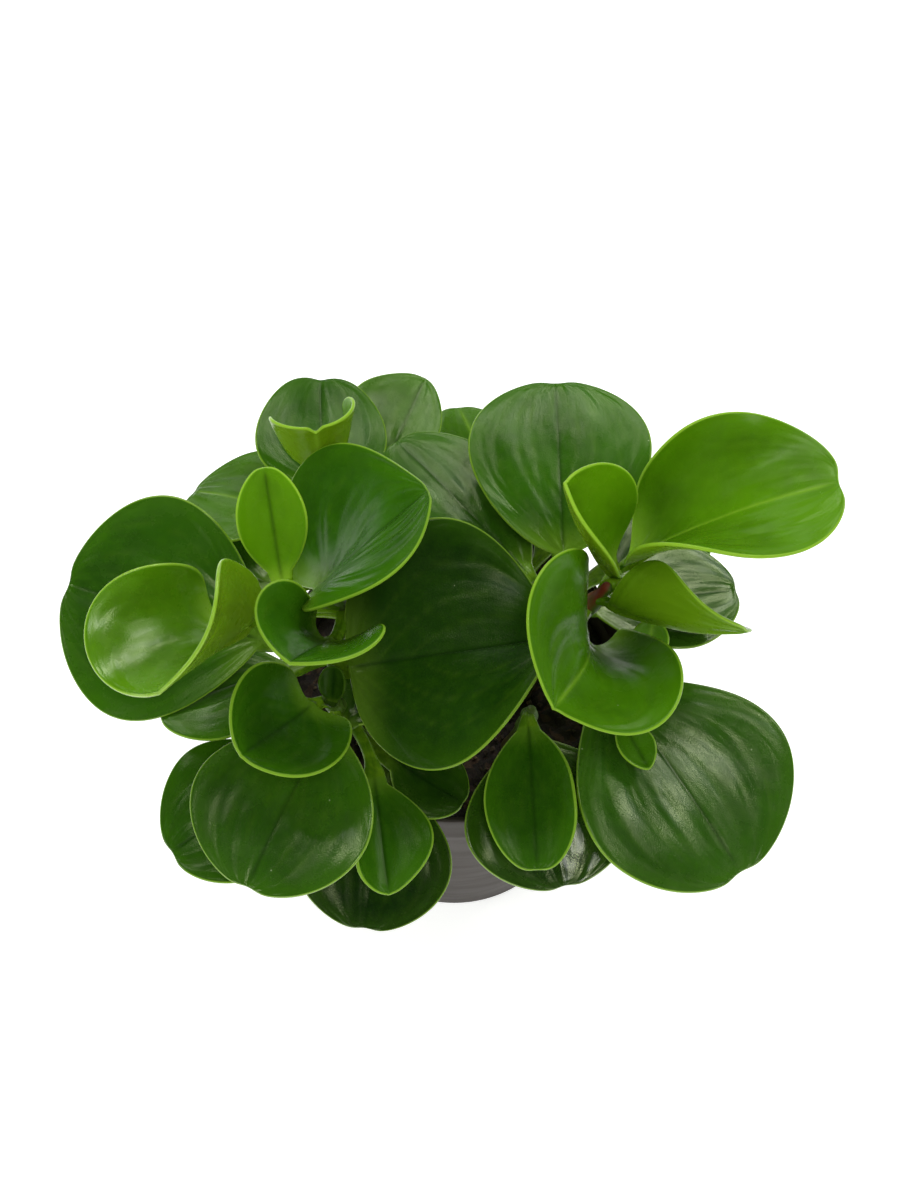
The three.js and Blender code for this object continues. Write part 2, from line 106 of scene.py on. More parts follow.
# Relief of a blade, in millimetres: how wide each groove is, how far the one along the margin lies from it,
# how far the blade thins towards its margin, and how high the keel and the ripples of the margin are
MIDRIB_GROOVE = 0.7
MIDRIB_VALLEY = 3.2
VEIN_GROOVE = 0.6
RIM_GROOVE = 0.7
RIM_INSET = 1.7
THIN_REACH = 3.5
KEEL_HEIGHT = 0.22
RIPPLE_HEIGHT = 0.18

# Where each lateral vein leaves the midrib, the share of the half width that it nears, and how slowly
VEINS = ((0.02, 0.74, 0.2), (0.13, 0.5, 0.2), (0.3, 0.3, 0.18))

# The tone of a mature leaf, between old (0) and young (1)
MATURE_TONE = 0.4

# What the camera and the lights face, and half the side of the floor, in metres
AIM = Vector((-0.0015, -0.010, 0.145))
FLOOR_HALF = 12.0

# Each stem is a curve through the soil surface, a control point and the tip
STEMS = {
    "a": ((-18, -2, 84), (-26, -4, 118), (-35, -12, 149)),
    "b": ((-26, -20, 84), (-34, -26, 108), (-38, -33, 127)),
    "c": ((22, -4, 84), (32, -6, 120), (45, -10, 153)),
    "d": ((-22, 26, 84), (-38, 36, 112), (-43, 43, 140)),
    "e": ((18, -26, 84), (22, -28, 100), (23, -31, 118)),
    "f": ((8, 24, 84), (14, 26, 100), (20, 20, 121)),
}

# What a leaf has unless its entry says otherwise. "tone" runs from an old dark leaf (0) to a young bright one
# (1), "dull" from a saturated green to a greyish one, the painted sheen of light that the leaf mirrors,
# "relief" scales its veins and waves, "gloss" its shine, "line" how pale its margin line is and "under" how
# light its underside is.
LEAF_DEFAULTS = dict(
    rise=0, roll=0, twist=0, bow=0, fold=0, peak=0.56, foot=0.7, tip=0.5, flare=0.25, skew=0, lobe=0,
    notch=0.02, tone=0.3, painted_sheen=0.1, relief=1.0, gloss=1.0, line=1.0, under=1.0,
)

# One entry a leaf. "node" is how far up the stem its petiole leaves it, "base" is where the blade starts,
# "compass" is the way it points (0 is +X, 90 is +Y) and "rise" how steeply it points up, both in degrees.
# "roll" lifts its left side, "bow" bends its midrib down towards the tip, and "cup" turns up its left and
# right margins. "peak" is where the blade is widest, "foot" how narrow it is at the base, "tip" how pointed
# it is at the tip, "flare" how much tighter the cup is at the base, "skew" how much wider the left half is,
# "lobe" how far the margins sweep back, "notch" how deep the dent in the tip is, "twist" the change of roll
# from base to tip, and "fold" the crease along the midrib at the tip. The four outermost leaves, a5, c2, d3
# and f2, are up to 2 mm shorter than in the solids, whose facets reach less far than a round tip, and a1, c1
# and c3 are 2 or 3 mm wider at the base.
LEAVES = {
    "a1": dict(
        base=(-40.7, -9.8, 148.3), node=0.93, compass=30.7, rise=30, roll=-42.5, twist=42,
        length=45.7, width=78, bow=7, cup=(41, -25), fold=6, peak=0.5, foot=0.2, tip=0.84,
        flare=0.52, skew=0.23, lobe=0.42, tone=0.4, relief=0.8, gloss=0.3,
    ),
    "a2": dict(
        base=(-51, -5, 147), node=0.9, compass=101, rise=45,
        length=35, width=23, bow=5, cup=(20, 30), fold=18, tip=0.6, tone=0.92, relief=0.6, gloss=0.5,
    ),
    "a3": dict(
        base=(-35.8, -26.1, 147), node=0.88, compass=249, rise=44, roll=4, twist=-10,
        length=34, width=48, bow=7, cup=(49, 120), fold=13, peak=0.62, foot=0.15, tip=1.27,
        flare=0.9, lobe=0.36, tone=0.4, relief=0.6, gloss=0.5,
    ),
    "a4": dict(
        base=(-61.2, -18.6, 144), node=0.8, compass=242, rise=26, roll=49, twist=-1,
        length=45, width=74.5, cup=(84, 130), fold=10, foot=0.3, tip=0.96,
        flare=0.9, skew=-0.12, lobe=0.5, tone=0.88, relief=0.7, gloss=2.6,
    ),
    "a5": dict(
        base=(-58, -13, 128), node=0.6, compass=166, rise=8, roll=-28,
        length=62.7, width=69.5, bow=10, cup=(-5, 25), foot=0.6, tone=0.36, relief=0.9, gloss=1.3,
    ),
    "a6": dict(
        base=(-31.2, -27, 134.7), node=0.6, compass=4, rise=9, roll=14.5, twist=-36.5,
        length=61.5, width=77, bow=-6, cup=(19, -10), fold=26, peak=0.51, foot=0.37, tip=0.62,
        skew=0.05, lobe=0.07, tone=0.08, relief=0.6, gloss=0.4,
    ),
    "a7": dict(
        base=(-50, -14, 114), node=0.45, compass=204, rise=2,
        length=44, width=36, bow=20, cup=(10, 10), tone=0.45,
    ),
    "b1": dict(
        base=(-42, -35, 126.5), node=0.9, compass=238, rise=30, roll=-18, twist=-15,
        length=38, width=43, bow=-12, cup=(43, 66), fold=4, peak=0.58, foot=0.24, tip=0.87,
        flare=0.15, lobe=0.5, tone=0.36, relief=0.6, gloss=0.4,
    ),
    "b2": dict(
        base=(-37, -37, 118), node=0.8, compass=245, rise=-10,
        length=55, width=56, bow=25, cup=(15, 15), foot=0.6, tone=0.32, painted_sheen=0.2, relief=0.7, gloss=2.5,
    ),
    "b3": dict(
        base=(-43, -44, 109), node=0.6, compass=214, rise=-8,
        length=50, width=48, bow=20, cup=(10, 10), gloss=0.8,
    ),
    "b4": dict(
        base=(-33, -35, 115), node=0.7, compass=50, rise=14,
        length=25, width=22, cup=(15, 15), tone=0.1, under=0.4,
    ),
    "b5": dict(
        base=(-24, -50, 110), node=0.65, compass=278, rise=-8,
        length=37, width=31, cup=(20, 115), fold=6, tip=0.85, tone=0.36, relief=0.6, gloss=0.5,
    ),
    # b6's tone of 0 darkens it as painted shade, for the shadow it lies in under the leaves above.
    "b6": dict(
        base=(-21, -44, 102), node=0.35, compass=262, rise=-25,
        length=48, width=48, bow=25, cup=(10, 10), tone=0.0,
    ),
    "b7": dict(
        base=(-20, -41, 106), node=0.45, compass=330, rise=-10,
        length=27, width=24, cup=(0, 0), tone=0.12,
    ),
    "b8": dict(
        base=(-36, -35, 128), node=0.98, compass=80, rise=64,
        length=13, width=10, cup=(70, 70), tone=0.02, relief=0.3, gloss=0.3, line=0.15, under=0.1,
    ),
    "c1": dict(
        base=(34, 19, 128), node=0.6, compass=91, rise=15,
        length=62, width=59, bow=25, cup=(15, 15), foot=0.5, tone=0.42, relief=0.8, gloss=0.8,
    ),
    "c2": dict(
        base=(49.8, -0.3, 149.4), node=0.95, compass=2, rise=32, roll=-22, twist=42,
        length=68.5, width=67, bow=19, cup=(106, 37), peak=0.49, foot=0.71, tip=0.45, flare=0.9,
        tone=0.8, relief=0.7, gloss=0.55,
    ),
    "c3": dict(
        base=(47.7, -5.7, 151.9), node=0.98, compass=163, rise=63, roll=20, twist=-32,
        length=41.5, width=35, bow=-35, cup=(41, 57), fold=25, foot=0.5, tip=0.62,
        flare=0.82, skew=-0.3, lobe=0.22, tone=1.0, relief=0.4, gloss=0.5,
    ),
    # c4's lowered tone and "under" share darken its lower part and underside as painted shade.
    "c4": dict(
        base=(45.2, -11.7, 146.8), node=0.86, compass=334, rise=16, roll=-51, twist=-15,
        length=44, width=60, bow=-35, cup=(2, 130), fold=10, peak=0.45, foot=0.98, tip=0.71,
        flare=0.9, skew=0.22, lobe=0.45, tone=0.58, relief=0.6, gloss=0.6, under=0.75,
    ),
    "c5": dict(
        base=(37.2, -17.1, 139.5), node=0.82, compass=254, rise=27.5, roll=-57, twist=42,
        length=50, width=66, bow=49, cup=(130, 24), fold=2, foot=0.16, tip=1.3,
        flare=0.9, lobe=0.5, tone=0.57, relief=0.7, gloss=0.5,
    ),
    "c6": dict(
        base=(45, -16, 112), node=0.45, compass=304, rise=-13, roll=-5,
        length=74, width=74, bow=20, cup=(15, 15), peak=0.58, tone=0.34, painted_sheen=0.3, relief=0.7, gloss=1.6,
    ),
    "c7": dict(
        base=(49, -33.5, 118), node=0.5, compass=294, rise=-2,
        length=20, width=12, cup=(30, 30), tip=0.8, tone=0.5, relief=0.4,
    ),
    "c8": dict(
        base=(42, 6, 117.5), node=0.45, compass=6, rise=3,
        length=48, width=42, bow=12, cup=(10, 10), tone=0.28, painted_sheen=0.5, relief=0.9, gloss=3.0,
    ),
    "c9": dict(
        base=(57.5, -18.5, 125), node=0.6, compass=76, rise=58,
        length=14, width=12, cup=(30, 30), tone=0.7, relief=0.3,
    ),
    "c10": dict(
        base=(48, 24, 112), node=0.35, compass=30, rise=-3,
        length=40, width=34, bow=12, cup=(10, 10), tone=0.25,
    ),
    "d1": dict(
        base=(-43.4, 47.4, 124.2), node=0.75, compass=93, rise=5, roll=4.5, twist=4.5,
        length=47, width=44, bow=5, cup=(5, 5), fold=8, peak=0.47, foot=0.99, tip=0.38, lobe=0.2,
        tone=0.32, relief=0.7, gloss=0.6,
    ),
    "d2": dict(
        base=(-42.5, 43, 141), node=0.93, compass=272, rise=86, roll=6,
        length=22, width=43, bow=10, cup=(112, 97), skew=0.08, notch=0.12, tone=0.95, relief=0.4, gloss=0.4,
    ),
    "d3": dict(
        base=(-26.4, 57, 115), node=0.6, compass=69.5, rise=8.5, roll=14, twist=6,
        length=47.7, width=33, bow=8.5, cup=(15, 5), foot=0.85, tip=0.66, skew=0.25,
        tone=0.5, painted_sheen=0.2, relief=0.7,
    ),
    "d4": dict(
        base=(-52.4, 45, 116.2), node=0.55, compass=160, rise=-8, roll=8, twist=8,
        length=39, width=48, bow=14, cup=(10, 10.5), tip=0.42, tone=0.6, painted_sheen=0.5,
    ),
    "d5": dict(
        base=(-30, 48, 106), node=0.4, compass=100, rise=-4,
        length=42, width=40, bow=12, cup=(10, 10), tone=0.25,
    ),
    "d6": dict(
        base=(-60, 22, 108), node=0.4, compass=165, rise=-6,
        length=36, width=38, bow=12, cup=(10, 10), tone=0.25,
    ),
    "e1": dict(
        base=(22, -34, 116), node=0.88, compass=272, rise=-9,
        length=47, width=30, cup=(70, 25), tone=0.36, relief=0.7, gloss=0.6,
    ),
    "e2": dict(
        base=(22, -34, 108), node=0.6, compass=284, rise=-20,
        length=48, width=53, bow=20, cup=(15, 15), tone=0.1, gloss=4.0,
    ),
    "f1": dict(
        base=(23.6, 14.4, 122.8), node=0.95, compass=129, rise=3,
        length=69.5, width=42, bow=8, cup=(15, 15), tone=0.42, painted_sheen=0.25, relief=0.8, gloss=0.9,
    ),
    "f2": dict(
        base=(16.4, 54.1, 105.2), node=0.5, compass=108, rise=1.5, roll=12,
        length=49.6, width=35, bow=15.5, cup=(25, 9), tone=0.58, painted_sheen=0.4, relief=0.8,
    ),
    "f3": dict(
        base=(30, 40, 104), node=0.4, compass=70, rise=-3,
        length=45, width=42, bow=12, cup=(10, 10), tone=0.25,
    ),
}


def srgb(red, green, blue):
    """A colour from 0 to 255 steps of the screen, as linear light with full alpha."""
    steps = np.array([red, green, blue]) / 255
    linear = np.where(steps <= 0.04045, steps / 12.92, ((steps + 0.055) / 1.055) ** 2.4)
    return (*(float(x) for x in linear), 1.0)


def mixed(first, second, share):
    """The colour that lies that share of the way from the first colour to the second."""
    return tuple(float(a + (b - a) * share) for a, b in zip(first, second))


# Settings

def number(name, description, default, **more):
    """A setting that holds one number."""
    return FloatProperty(name=name, description=description, default=default, **more)


def colour(name, description, *steps):
    """A setting that holds a colour, given in steps of the screen."""
    start = srgb(*steps)
    return FloatVectorProperty(name=name, description=description, subtype="COLOR", size=4, default=start)


class LeafSettings(bpy.types.PropertyGroup):
    """Sizes and colours of the leaves."""

    thickness: number("Thickness", "Thickness of a blade, in millimetres", 1.5, min=0.8)
    vein_depth: number("Vein depth", "Depth of the grooves over the veins, in millimetres", 0.2)
    wave_height: number("Wave height", "Height of the slow waves of a blade, in millimetres", 0.3)
    margin_width: number("Margin width", "Width of the pale margin line, in millimetres", 0.42)
    step: number("Step", "Distance between rows of vertices, in millimetres", 1.15, min=0.5)
    deep: colour("Deep green", "Upper face of an old leaf", 10, 38, 4)
    mature: colour("Mature green", "Upper face of a mature leaf", 44, 94, 3)
    young: colour("Young green", "Upper face of a young leaf", 96, 152, 3)
    # Painted sheen: the greyish green that a leaf's dull share mixes in, for the light that the leaf mirrors.
    sheen_grey: colour("Grey green", "What a dull leaf tends to", 74, 98, 48)
    under: colour("Underside", "Lower face of a leaf", 108, 144, 14)
    pale: colour("Margin", "Margin line, midrib and petioles", 148, 190, 52)


class StemSettings(bpy.types.PropertyGroup):
    """Colours of the stems."""

    # The stem green is darker than the stems' own, as painted shade under the leaves.
    green: colour("Stem green", "Young stem", 66, 96, 26)
    brown: colour("Stem brown", "Old stem", 70, 62, 34)
    blush: colour("Blush", "Red brown side of a stem", 120, 48, 32)


class PotSettings(bpy.types.PropertyGroup):
    """Colours and fineness of the pot and the soil."""

    segments: IntProperty(name="Segments", description="Steps round the pot", default=160, min=32)
    # The plastic's colour is darker than the pot's own taupe: painted shade of the leaves over the pot.
    plastic: colour("Plastic", "Taupe plastic of the pot", 48, 39, 31)
    soil: colour("Soil", "Moist potting mix", 38, 28, 20)


class StudioSettings(bpy.types.PropertyGroup):
    """Camera, floor and lights."""

    elevation: number("Elevation", "Height angle of the camera, in degrees", 55.0)
    distance: number("Distance", "From the camera to its aim", 0.45, unit="LENGTH")
    lens: number("Lens", "Focal length over a 36 mm long side", 45.9)
    ambient: number("Ambient", "Strength of the light from all round", 0.46)
    window: number("Window", "Power of each panel high behind", 3.0, unit="POWER")
    backdrop: number("Backdrop", "Power of the low panel behind", 1.6, unit="POWER")
    top: number("Top", "Power of the small panel over the camera", 3.4, unit="POWER")
    key: number("Key", "Power of the wide light from the left", 12.0, unit="POWER")
    fill: number("Fill", "Power of the wide light from the right", 7.0, unit="POWER")
    front: number("Front", "Power of the wide light in front", 7.0, unit="POWER")
    floor_glow: number("Floor glow", "Light that the floor gives off itself", 0.5)


# Meshes

def new_object(name, data):
    """An object in the scene that holds a mesh, a light or a camera."""
    made = bpy.data.objects.new(name, data)
    bpy.context.scene.collection.objects.link(made)
    return made


def mesh_from(name, points, quads, triangles):
    """A smooth mesh object from points in millimetres, quads and triangles, turned to face outwards.

    The volume is the sum over the triangles of the corner's triple product over six. Where it is negative,
    every face is turned round.
    """
    points = np.asarray(points, float) * MM
    split = np.concatenate([quads[:, [0, 1, 2]], quads[:, [0, 2, 3]], triangles])
    a, b, c = (points[split[:, k]] for k in range(3))
    if np.einsum("ij,ij->i", a, np.cross(b, c)).sum() < 0:
        quads = quads[:, ::-1]
        triangles = triangles[:, ::-1]
    mesh = bpy.data.meshes.new(name)
    mesh.vertices.add(len(points))
    mesh.vertices.foreach_set("co", points.astype(np.float32).ravel())
    corners = np.concatenate([quads.ravel(), triangles.ravel()]).astype(np.int32)
    sizes = np.concatenate([np.full(len(quads), 4), np.full(len(triangles), 3)])
    starts = np.concatenate([[0], np.cumsum(sizes)[:-1]]).astype(np.int32)
    mesh.loops.add(len(corners))
    mesh.loops.foreach_set("vertex_index", corners)
    mesh.polygons.add(len(sizes))
    mesh.polygons.foreach_set("loop_start", starts)
    mesh.polygons.foreach_set("use_smooth", np.ones(len(sizes), bool))
    mesh.update(calc_edges=True)
    mesh.validate()
    return new_object(name, mesh)


def tube_faces(rows, around, start, end):
    """Quads between the rings of a tube, and a fan at each end round the points numbered start and end."""
    ring = np.arange(rows * around).reshape(rows, around)
    beside = np.roll(ring, -1, axis=1)
    quads = np.stack([ring[:-1], ring[1:], beside[1:], beside[:-1]], axis=-1).reshape(-1, 4)
    first = np.stack([np.full(around, start), ring[0], beside[0]], axis=-1)
    last = np.stack([np.full(around, end), beside[-1], ring[-1]], axis=-1)
    return quads, np.concatenate([first, last])


def put_values(piece, **values):
    """Stores each array as a number on every point of the piece, for its material to read."""
    for name, value in values.items():
        attribute = piece.data.attributes.new(name, "FLOAT", "POINT")
        attribute.data.foreach_set("value", np.asarray(value, np.float32).ravel())


def place(piece, slot, *nodes):
    """Lets the piece ride on the part's one body and stand for CAD nodes. The slot is not used."""
    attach(piece, "root")
    if nodes:
        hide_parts(*nodes)


# Formulas

def unit(vectors):
    """Each vector over its length."""
    return vectors / np.maximum(np.linalg.norm(vectors, axis=-1, keepdims=True), 1e-12)


def smoothstep(x):
    """Rises from 0 to 1 with level ends, as three x squared less two x cubed."""
    x = np.clip(x, 0, 1)
    return x * x * (3 - 2 * x)


def hump(x, width):
    """A bell of height 1 round x = 0: the exponential of minus the square of x over the width."""
    return np.exp(-((x / width) ** 2))


def circle(count, shift=0.0):
    """Angles at even steps round a circle."""
    return 2 * np.pi * (np.arange(count) + shift) / count


def on_circle(radius, angle, height):
    """Points round the z axis, by their radius, angle and height."""
    return np.stack(np.broadcast_arrays(radius * np.cos(angle), radius * np.sin(angle), height), axis=-1)


def quadratic(first, control, last, h):
    """Points of a quadratic curve between two points by way of a control point, at h from 0 to 1."""
    return (1 - h) ** 2 * first + 2 * h * (1 - h) * control + h**2 * last


def waves(x, y, seed, count, shortest, longest):
    """A sum of sine waves over the plane, with seeded directions, phases and lengths, from about -1 to 1."""
    draw = np.random.default_rng(seed)
    heading = draw.uniform(0, 2 * math.pi, count)
    phase = draw.uniform(0, 2 * math.pi, count)
    span = draw.uniform(shortest, longest, count)
    turn = 2 * math.pi / span
    along = x[..., None] * np.cos(heading) + y[..., None] * np.sin(heading)
    return np.sin(along * turn + phase).sum(axis=-1) / math.sqrt(count)


# Leaf form

def outline(s, leaf):
    """Half width of a blade over its greatest half width, at s from base (0) to tip (1).

    The sine of pi times s to a power that puts its crest at the leaf's peak, itself raised to a power that
    goes from the leaf's foot at the base to its tip value at the tip.
    """
    power = math.log(0.5) / math.log(leaf["peak"])
    wave = np.sin(np.pi * np.clip(s, 0, 1) ** power)
    return np.clip(wave, 0, 1) ** (leaf["foot"] + (leaf["tip"] - leaf["foot"]) * s)


def half_width(s, side, leaf):
    """Half width in millimetres on the left (side 1) or right (side -1)."""
    return 0.5 * leaf["width"] * outline(s, leaf) * (1 + leaf["skew"] * side)


def blade_axes(leaf):
    """Unit vectors along the midrib's chord, to the blade's left, and out of its upper face."""
    compass, rise = np.radians([leaf["compass"], leaf["rise"]])
    ahead = np.array([np.cos(compass) * np.cos(rise), np.sin(compass) * np.cos(rise), np.sin(rise)])
    left = np.array([-np.sin(compass), np.cos(compass), 0.0])
    return ahead, left, np.cross(ahead, left)


def blade_point(s, r, leaf):
    """Points of a blade's middle surface, at s along the midrib and r millimetres to the left of it.

    The midrib is an arc that turns by the leaf's bow. Each cross section is two arcs that leave the midrib at
    the angle of the fold, which grows to the tip as a quarter sine. Their curvature is the cup over the
    greatest half width, tighter towards the base by the flare, and they are turned about the midrib by the
    roll and twist. The tip is drawn back near the midrib by the notch, and the margins by the lobe.
    """
    greatest = leaf["width"] / 2
    reach = np.abs(r)
    dent = leaf["notch"] * np.clip((s - NOTCH_FROM) / (1 - NOTCH_FROM), 0, 1) ** 2
    near = hump(reach, NOTCH_REACH * leaf["length"])
    along = s - dent * near - leaf["lobe"] * (reach / greatest) ** 2 * (1 - s) ** 2

    bow = math.radians(leaf["bow"])
    if abs(bow) < 1e-4:
        slope = np.zeros_like(along)
        forward = along * leaf["length"]
        lift = np.zeros_like(along)
    else:
        slope = bow * (0.5 - along)
        forward = leaf["length"] / bow * (math.sin(bow / 2) - np.sin(slope))
        lift = leaf["length"] / bow * (np.cos(slope) - math.cos(bow / 2))

    cup = np.radians(np.where(r > 0, leaf["cup"][0], leaf["cup"][1]))
    curve = cup / greatest * (1 + leaf["flare"] * (1 - 2 * s))
    curve = np.where(np.abs(curve) < 1e-7, 1e-7, curve)
    fold = math.radians(leaf["fold"]) * np.sin(np.pi * np.clip(s, 0, 1) / 2)
    sideways = np.sign(r) * (np.sin(fold + curve * reach) - np.sin(fold)) / curve
    upward = (np.cos(fold) - np.cos(fold + curve * reach)) / curve

    ahead, left, face = blade_axes(leaf)
    roll = np.radians(leaf["roll"] + leaf["twist"] * (s - 0.5))[..., None]
    across = left * np.cos(roll) + face * np.sin(roll)
    normal = face * np.cos(roll) - left * np.sin(roll)
    local = normal * np.cos(slope)[..., None] - ahead * np.sin(slope)[..., None]
    return (
        np.array(leaf["base"], float)
        + ahead * forward[..., None]
        + normal * lift[..., None]
        + across * sideways[..., None]
        + local * upward[..., None]
    )


def blade_normal(s, r, leaf):
    """Unit vectors out of the upper face: the cross product of the surface's steps along s and along r.

    The step along r is a whole millimetre either way, so that the normals turn gradually over a fold.
    """
    along = blade_point(s + SLOPE_STEP, r, leaf) - blade_point(s - SLOPE_STEP, r, leaf)
    across = blade_point(s, r + 1, leaf) - blade_point(s, r - 1, leaf)
    return unit(np.cross(along, across))


def stem_point(key, h):
    """A point of the stem's quadratic curve at h from 2 mm over the soil (0) to the tip (1)."""
    root, control, tip = (np.array(p, float) for p in STEMS[key])
    root[2] = SOIL_TOP + 2
    return quadratic(root, control, tip, np.asarray(h, float)[..., None])


def margin_rows(leaf, first, step):
    """Values of s whose points on the margin lie about one step apart, from half width first to the tip."""
    near, far = np.logspace(-9, -2, 400), 1 - np.logspace(-2, -9, 400)
    fine = np.concatenate([near, np.linspace(0.0101, 0.9899, 1200), far])
    fine = fine[np.argmax(half_width(fine, 1, leaf) > first):]
    run = np.hypot(np.diff(fine) * leaf["length"], np.diff(half_width(fine, 1, leaf)))
    walked = np.concatenate([[0], np.cumsum(run)])
    count = max(18, int(round(walked[-1] / step)))
    return np.interp(np.linspace(0, walked[-1], count + 1)[:-1], walked, fine)


def vein_grooves(s, r, width, leaf, draw):
    """How deep the lateral veins lie at each point, from about -0.4 on the ridges beside them to 1 in them.

    Three veins on each side leave the midrib and arch towards the tip. Each lies at a share of the half width
    that nears its end value as one less an exponential of the way from its start.
    """
    depth = np.zeros_like(s)
    for side in (1, -1):
        for start, share, rate in VEINS:
            start = start + draw.uniform(-0.02, 0.04)
            share = share + draw.uniform(-0.06, 0.06)
            rate = rate * draw.uniform(0.85, 1.2)
            way = np.maximum(s - start, 0)
            vein = share * (1 - np.exp(-way / rate)) * width
            slope = share * np.exp(-way / rate) / rate * width / leaf["length"]
            off = (np.abs(r) - vein) / np.sqrt(1 + slope**2)
            fade = smoothstep(way / 0.06) * smoothstep((0.97 - s) / 0.25) * (r * side > 0)
            ridges = hump(np.abs(off) - 1.9, 2 * VEIN_GROOVE)
            depth += fade * (hump(off, VEIN_GROOVE) - 0.4 * ridges)
    return depth


def joined(stalk, blade, ends):
    """The numbers of the petiole's rings, of the blade's rings and of the two end points, in one row."""
    return np.concatenate([stalk.ravel(), blade.ravel(), ends])


def leaf_piece(name, key, leaf, settings):
    """A leaf as one closed surface: rings round the petiole that widen into rings round the blade.

    A ring runs over the upper face from the left margin to the right one and back over the lower face. Points
    lie closer together near the margins and the midrib. Half the thickness follows a quarter circle from the
    margin to the settings' thickness, with the distance to the margin taken as the reach left over the
    margin's slope. The slow waves are stretched along the way that the lateral veins run.
    """
    draw = np.random.default_rng([SEED, *name.encode()])
    small = leaf["length"] <= YOUNG_LENGTH
    stalk = PETIOLE_RADIUS * (YOUNG_PETIOLE if small else 1)
    thick = settings.thickness / 2 * (YOUNG_BLADE if small else 1)
    step = settings.step * (YOUNG_BLADE if small else 1)
    greatest = leaf["width"] / 2

    count = max(8, int(round(greatest / step)))
    share = 1 - smoothstep(np.arange(count + 1) / count)
    top = np.concatenate([share, -share[-2::-1]])
    ring = np.concatenate([top, top[-2:0:-1]])
    upper = np.concatenate([np.ones(len(top)), np.zeros(len(top) - 2)])
    upper[[0, len(top) - 1]] = 0.5
    round_share = np.sqrt(np.clip(1 - ring**2, 0, 1)) * np.where(upper > 0.4, 1, -1)

    s = margin_rows(leaf, min(2.0 * stalk, 0.45 * greatest), step)
    grid_s, grid_u = np.meshgrid(s, ring, indexing="ij")
    grid_up = np.repeat(upper[None, :], len(s), axis=0)
    side = np.where(grid_u > 0, 1.0, -1.0)
    width = half_width(grid_s, side, leaf)
    reach = grid_u * width
    ds = np.minimum(SLOPE_STEP, 0.4 * np.minimum(grid_s, 1 - grid_s))
    rise = half_width(grid_s + ds, side, leaf) - half_width(grid_s - ds, side, leaf)
    edge = (width - np.abs(reach)) / np.sqrt(1 + (rise / (2 * ds * leaf["length"])) ** 2)

    rounding = np.sqrt(np.clip(1 - (1 - np.minimum(edge / thick, 1)) ** 2, 0, 1))
    half = thick * rounding * (0.8 + 0.2 * smoothstep(edge / THIN_REACH))
    millimetres = grid_s * leaf["length"]
    keel = hump(reach, 0.75 * stalk)
    hidden_stalk = 0.85 * stalk * (1 - smoothstep(grid_s / 0.45))
    below = (hidden_stalk + KEEL_HEIGHT * (1 - grid_s)) * keel
    above = 0.55 * stalk * np.exp(-millimetres / (1.6 * stalk)) * keel

    relief = leaf["relief"]
    veins = vein_grooves(grid_s, reach, width, leaf, draw) * smoothstep((edge - 0.6) / 2.5)
    midrib = hump(reach, MIDRIB_GROOVE) * smoothstep(millimetres / 4) * smoothstep((1 - grid_s) / 0.12)
    valley = hump(reach, MIDRIB_VALLEY) * smoothstep(millimetres / 8) * smoothstep((1 - grid_s) / 0.3)
    rim = hump(edge - RIM_INSET, RIM_GROOVE)
    grooves = relief * veins + (0.5 + 0.3 * relief) * midrib + 0.9 * valley + 0.5 * rim
    grooves *= settings.vein_depth
    soft = smoothstep((edge - 0.3) / 4) * smoothstep(millimetres / 5)
    flow = np.abs(reach) / np.maximum(width, 1e-3) / (1 - np.exp(-(grid_s + 0.05) / 0.3))
    flow = side * np.minimum(flow, 1.5) * greatest
    slow_seed, quick_seed = int(draw.integers(1e6)), int(draw.integers(1e6))
    slow = waves(0.4 * millimetres, flow, slow_seed, count=8, shortest=11, longest=30) * soft
    quick = waves(millimetres, reach, quick_seed, count=9, shortest=4, longest=9) * soft
    rippled = np.sin(2 * np.pi * (millimetres / draw.uniform(19, 27)) + side * 1.4 + draw.uniform(0, 6))
    middle = smoothstep(grid_s / 0.2) * smoothstep((1 - grid_s) / 0.2)
    ripple = rippled * (np.abs(reach) / greatest) ** 3 * middle
    sway = settings.wave_height * relief * (slow + 0.06 * quick)
    sway += RIPPLE_HEIGHT * min(relief, 1.2) * ripple

    facing = np.where(grid_up > 0.4, 1.0, -1.0)
    height = facing * half + sway
    height += np.where(facing > 0, above - grooves, -below + 0.35 * grooves)
    points = blade_point(grid_s, reach, leaf) + blade_normal(grid_s, reach, leaf) * height[..., None]

    stalk_points, way = petiole_rings(key, leaf, stalk, ring, round_share)
    tip = blade_point(np.array([1.0]), np.array([0.0]), leaf)
    start = stem_point(key, [leaf["node"]])
    points = np.concatenate([stalk_points.reshape(-1, 3), points.reshape(-1, 3), start, tip])
    rows = len(stalk_points) + len(s)
    total = rows * len(ring)
    piece = mesh_from(name, points, *tube_faces(rows, len(ring), total, total + 1))

    blank = np.zeros((len(stalk_points), len(ring)))
    put_values(
        piece,
        upper=joined(blank + 0.5, grid_up, [0.5, 0.5]),
        edge=joined(blank + 6, edge, [6, 0]),
        midrib=joined(blank, midrib, [0, 0]),
        veins=joined(blank, np.clip(veins, 0, 1), [0, 0]),
        along=joined(blank + way[:, None], grid_s, [-1, 1]),
        run=joined(blank, 0.3 * millimetres, [0, 0.3 * leaf["length"]]),
        flow=joined(blank, flow, [0, 0]),
    )
    return piece


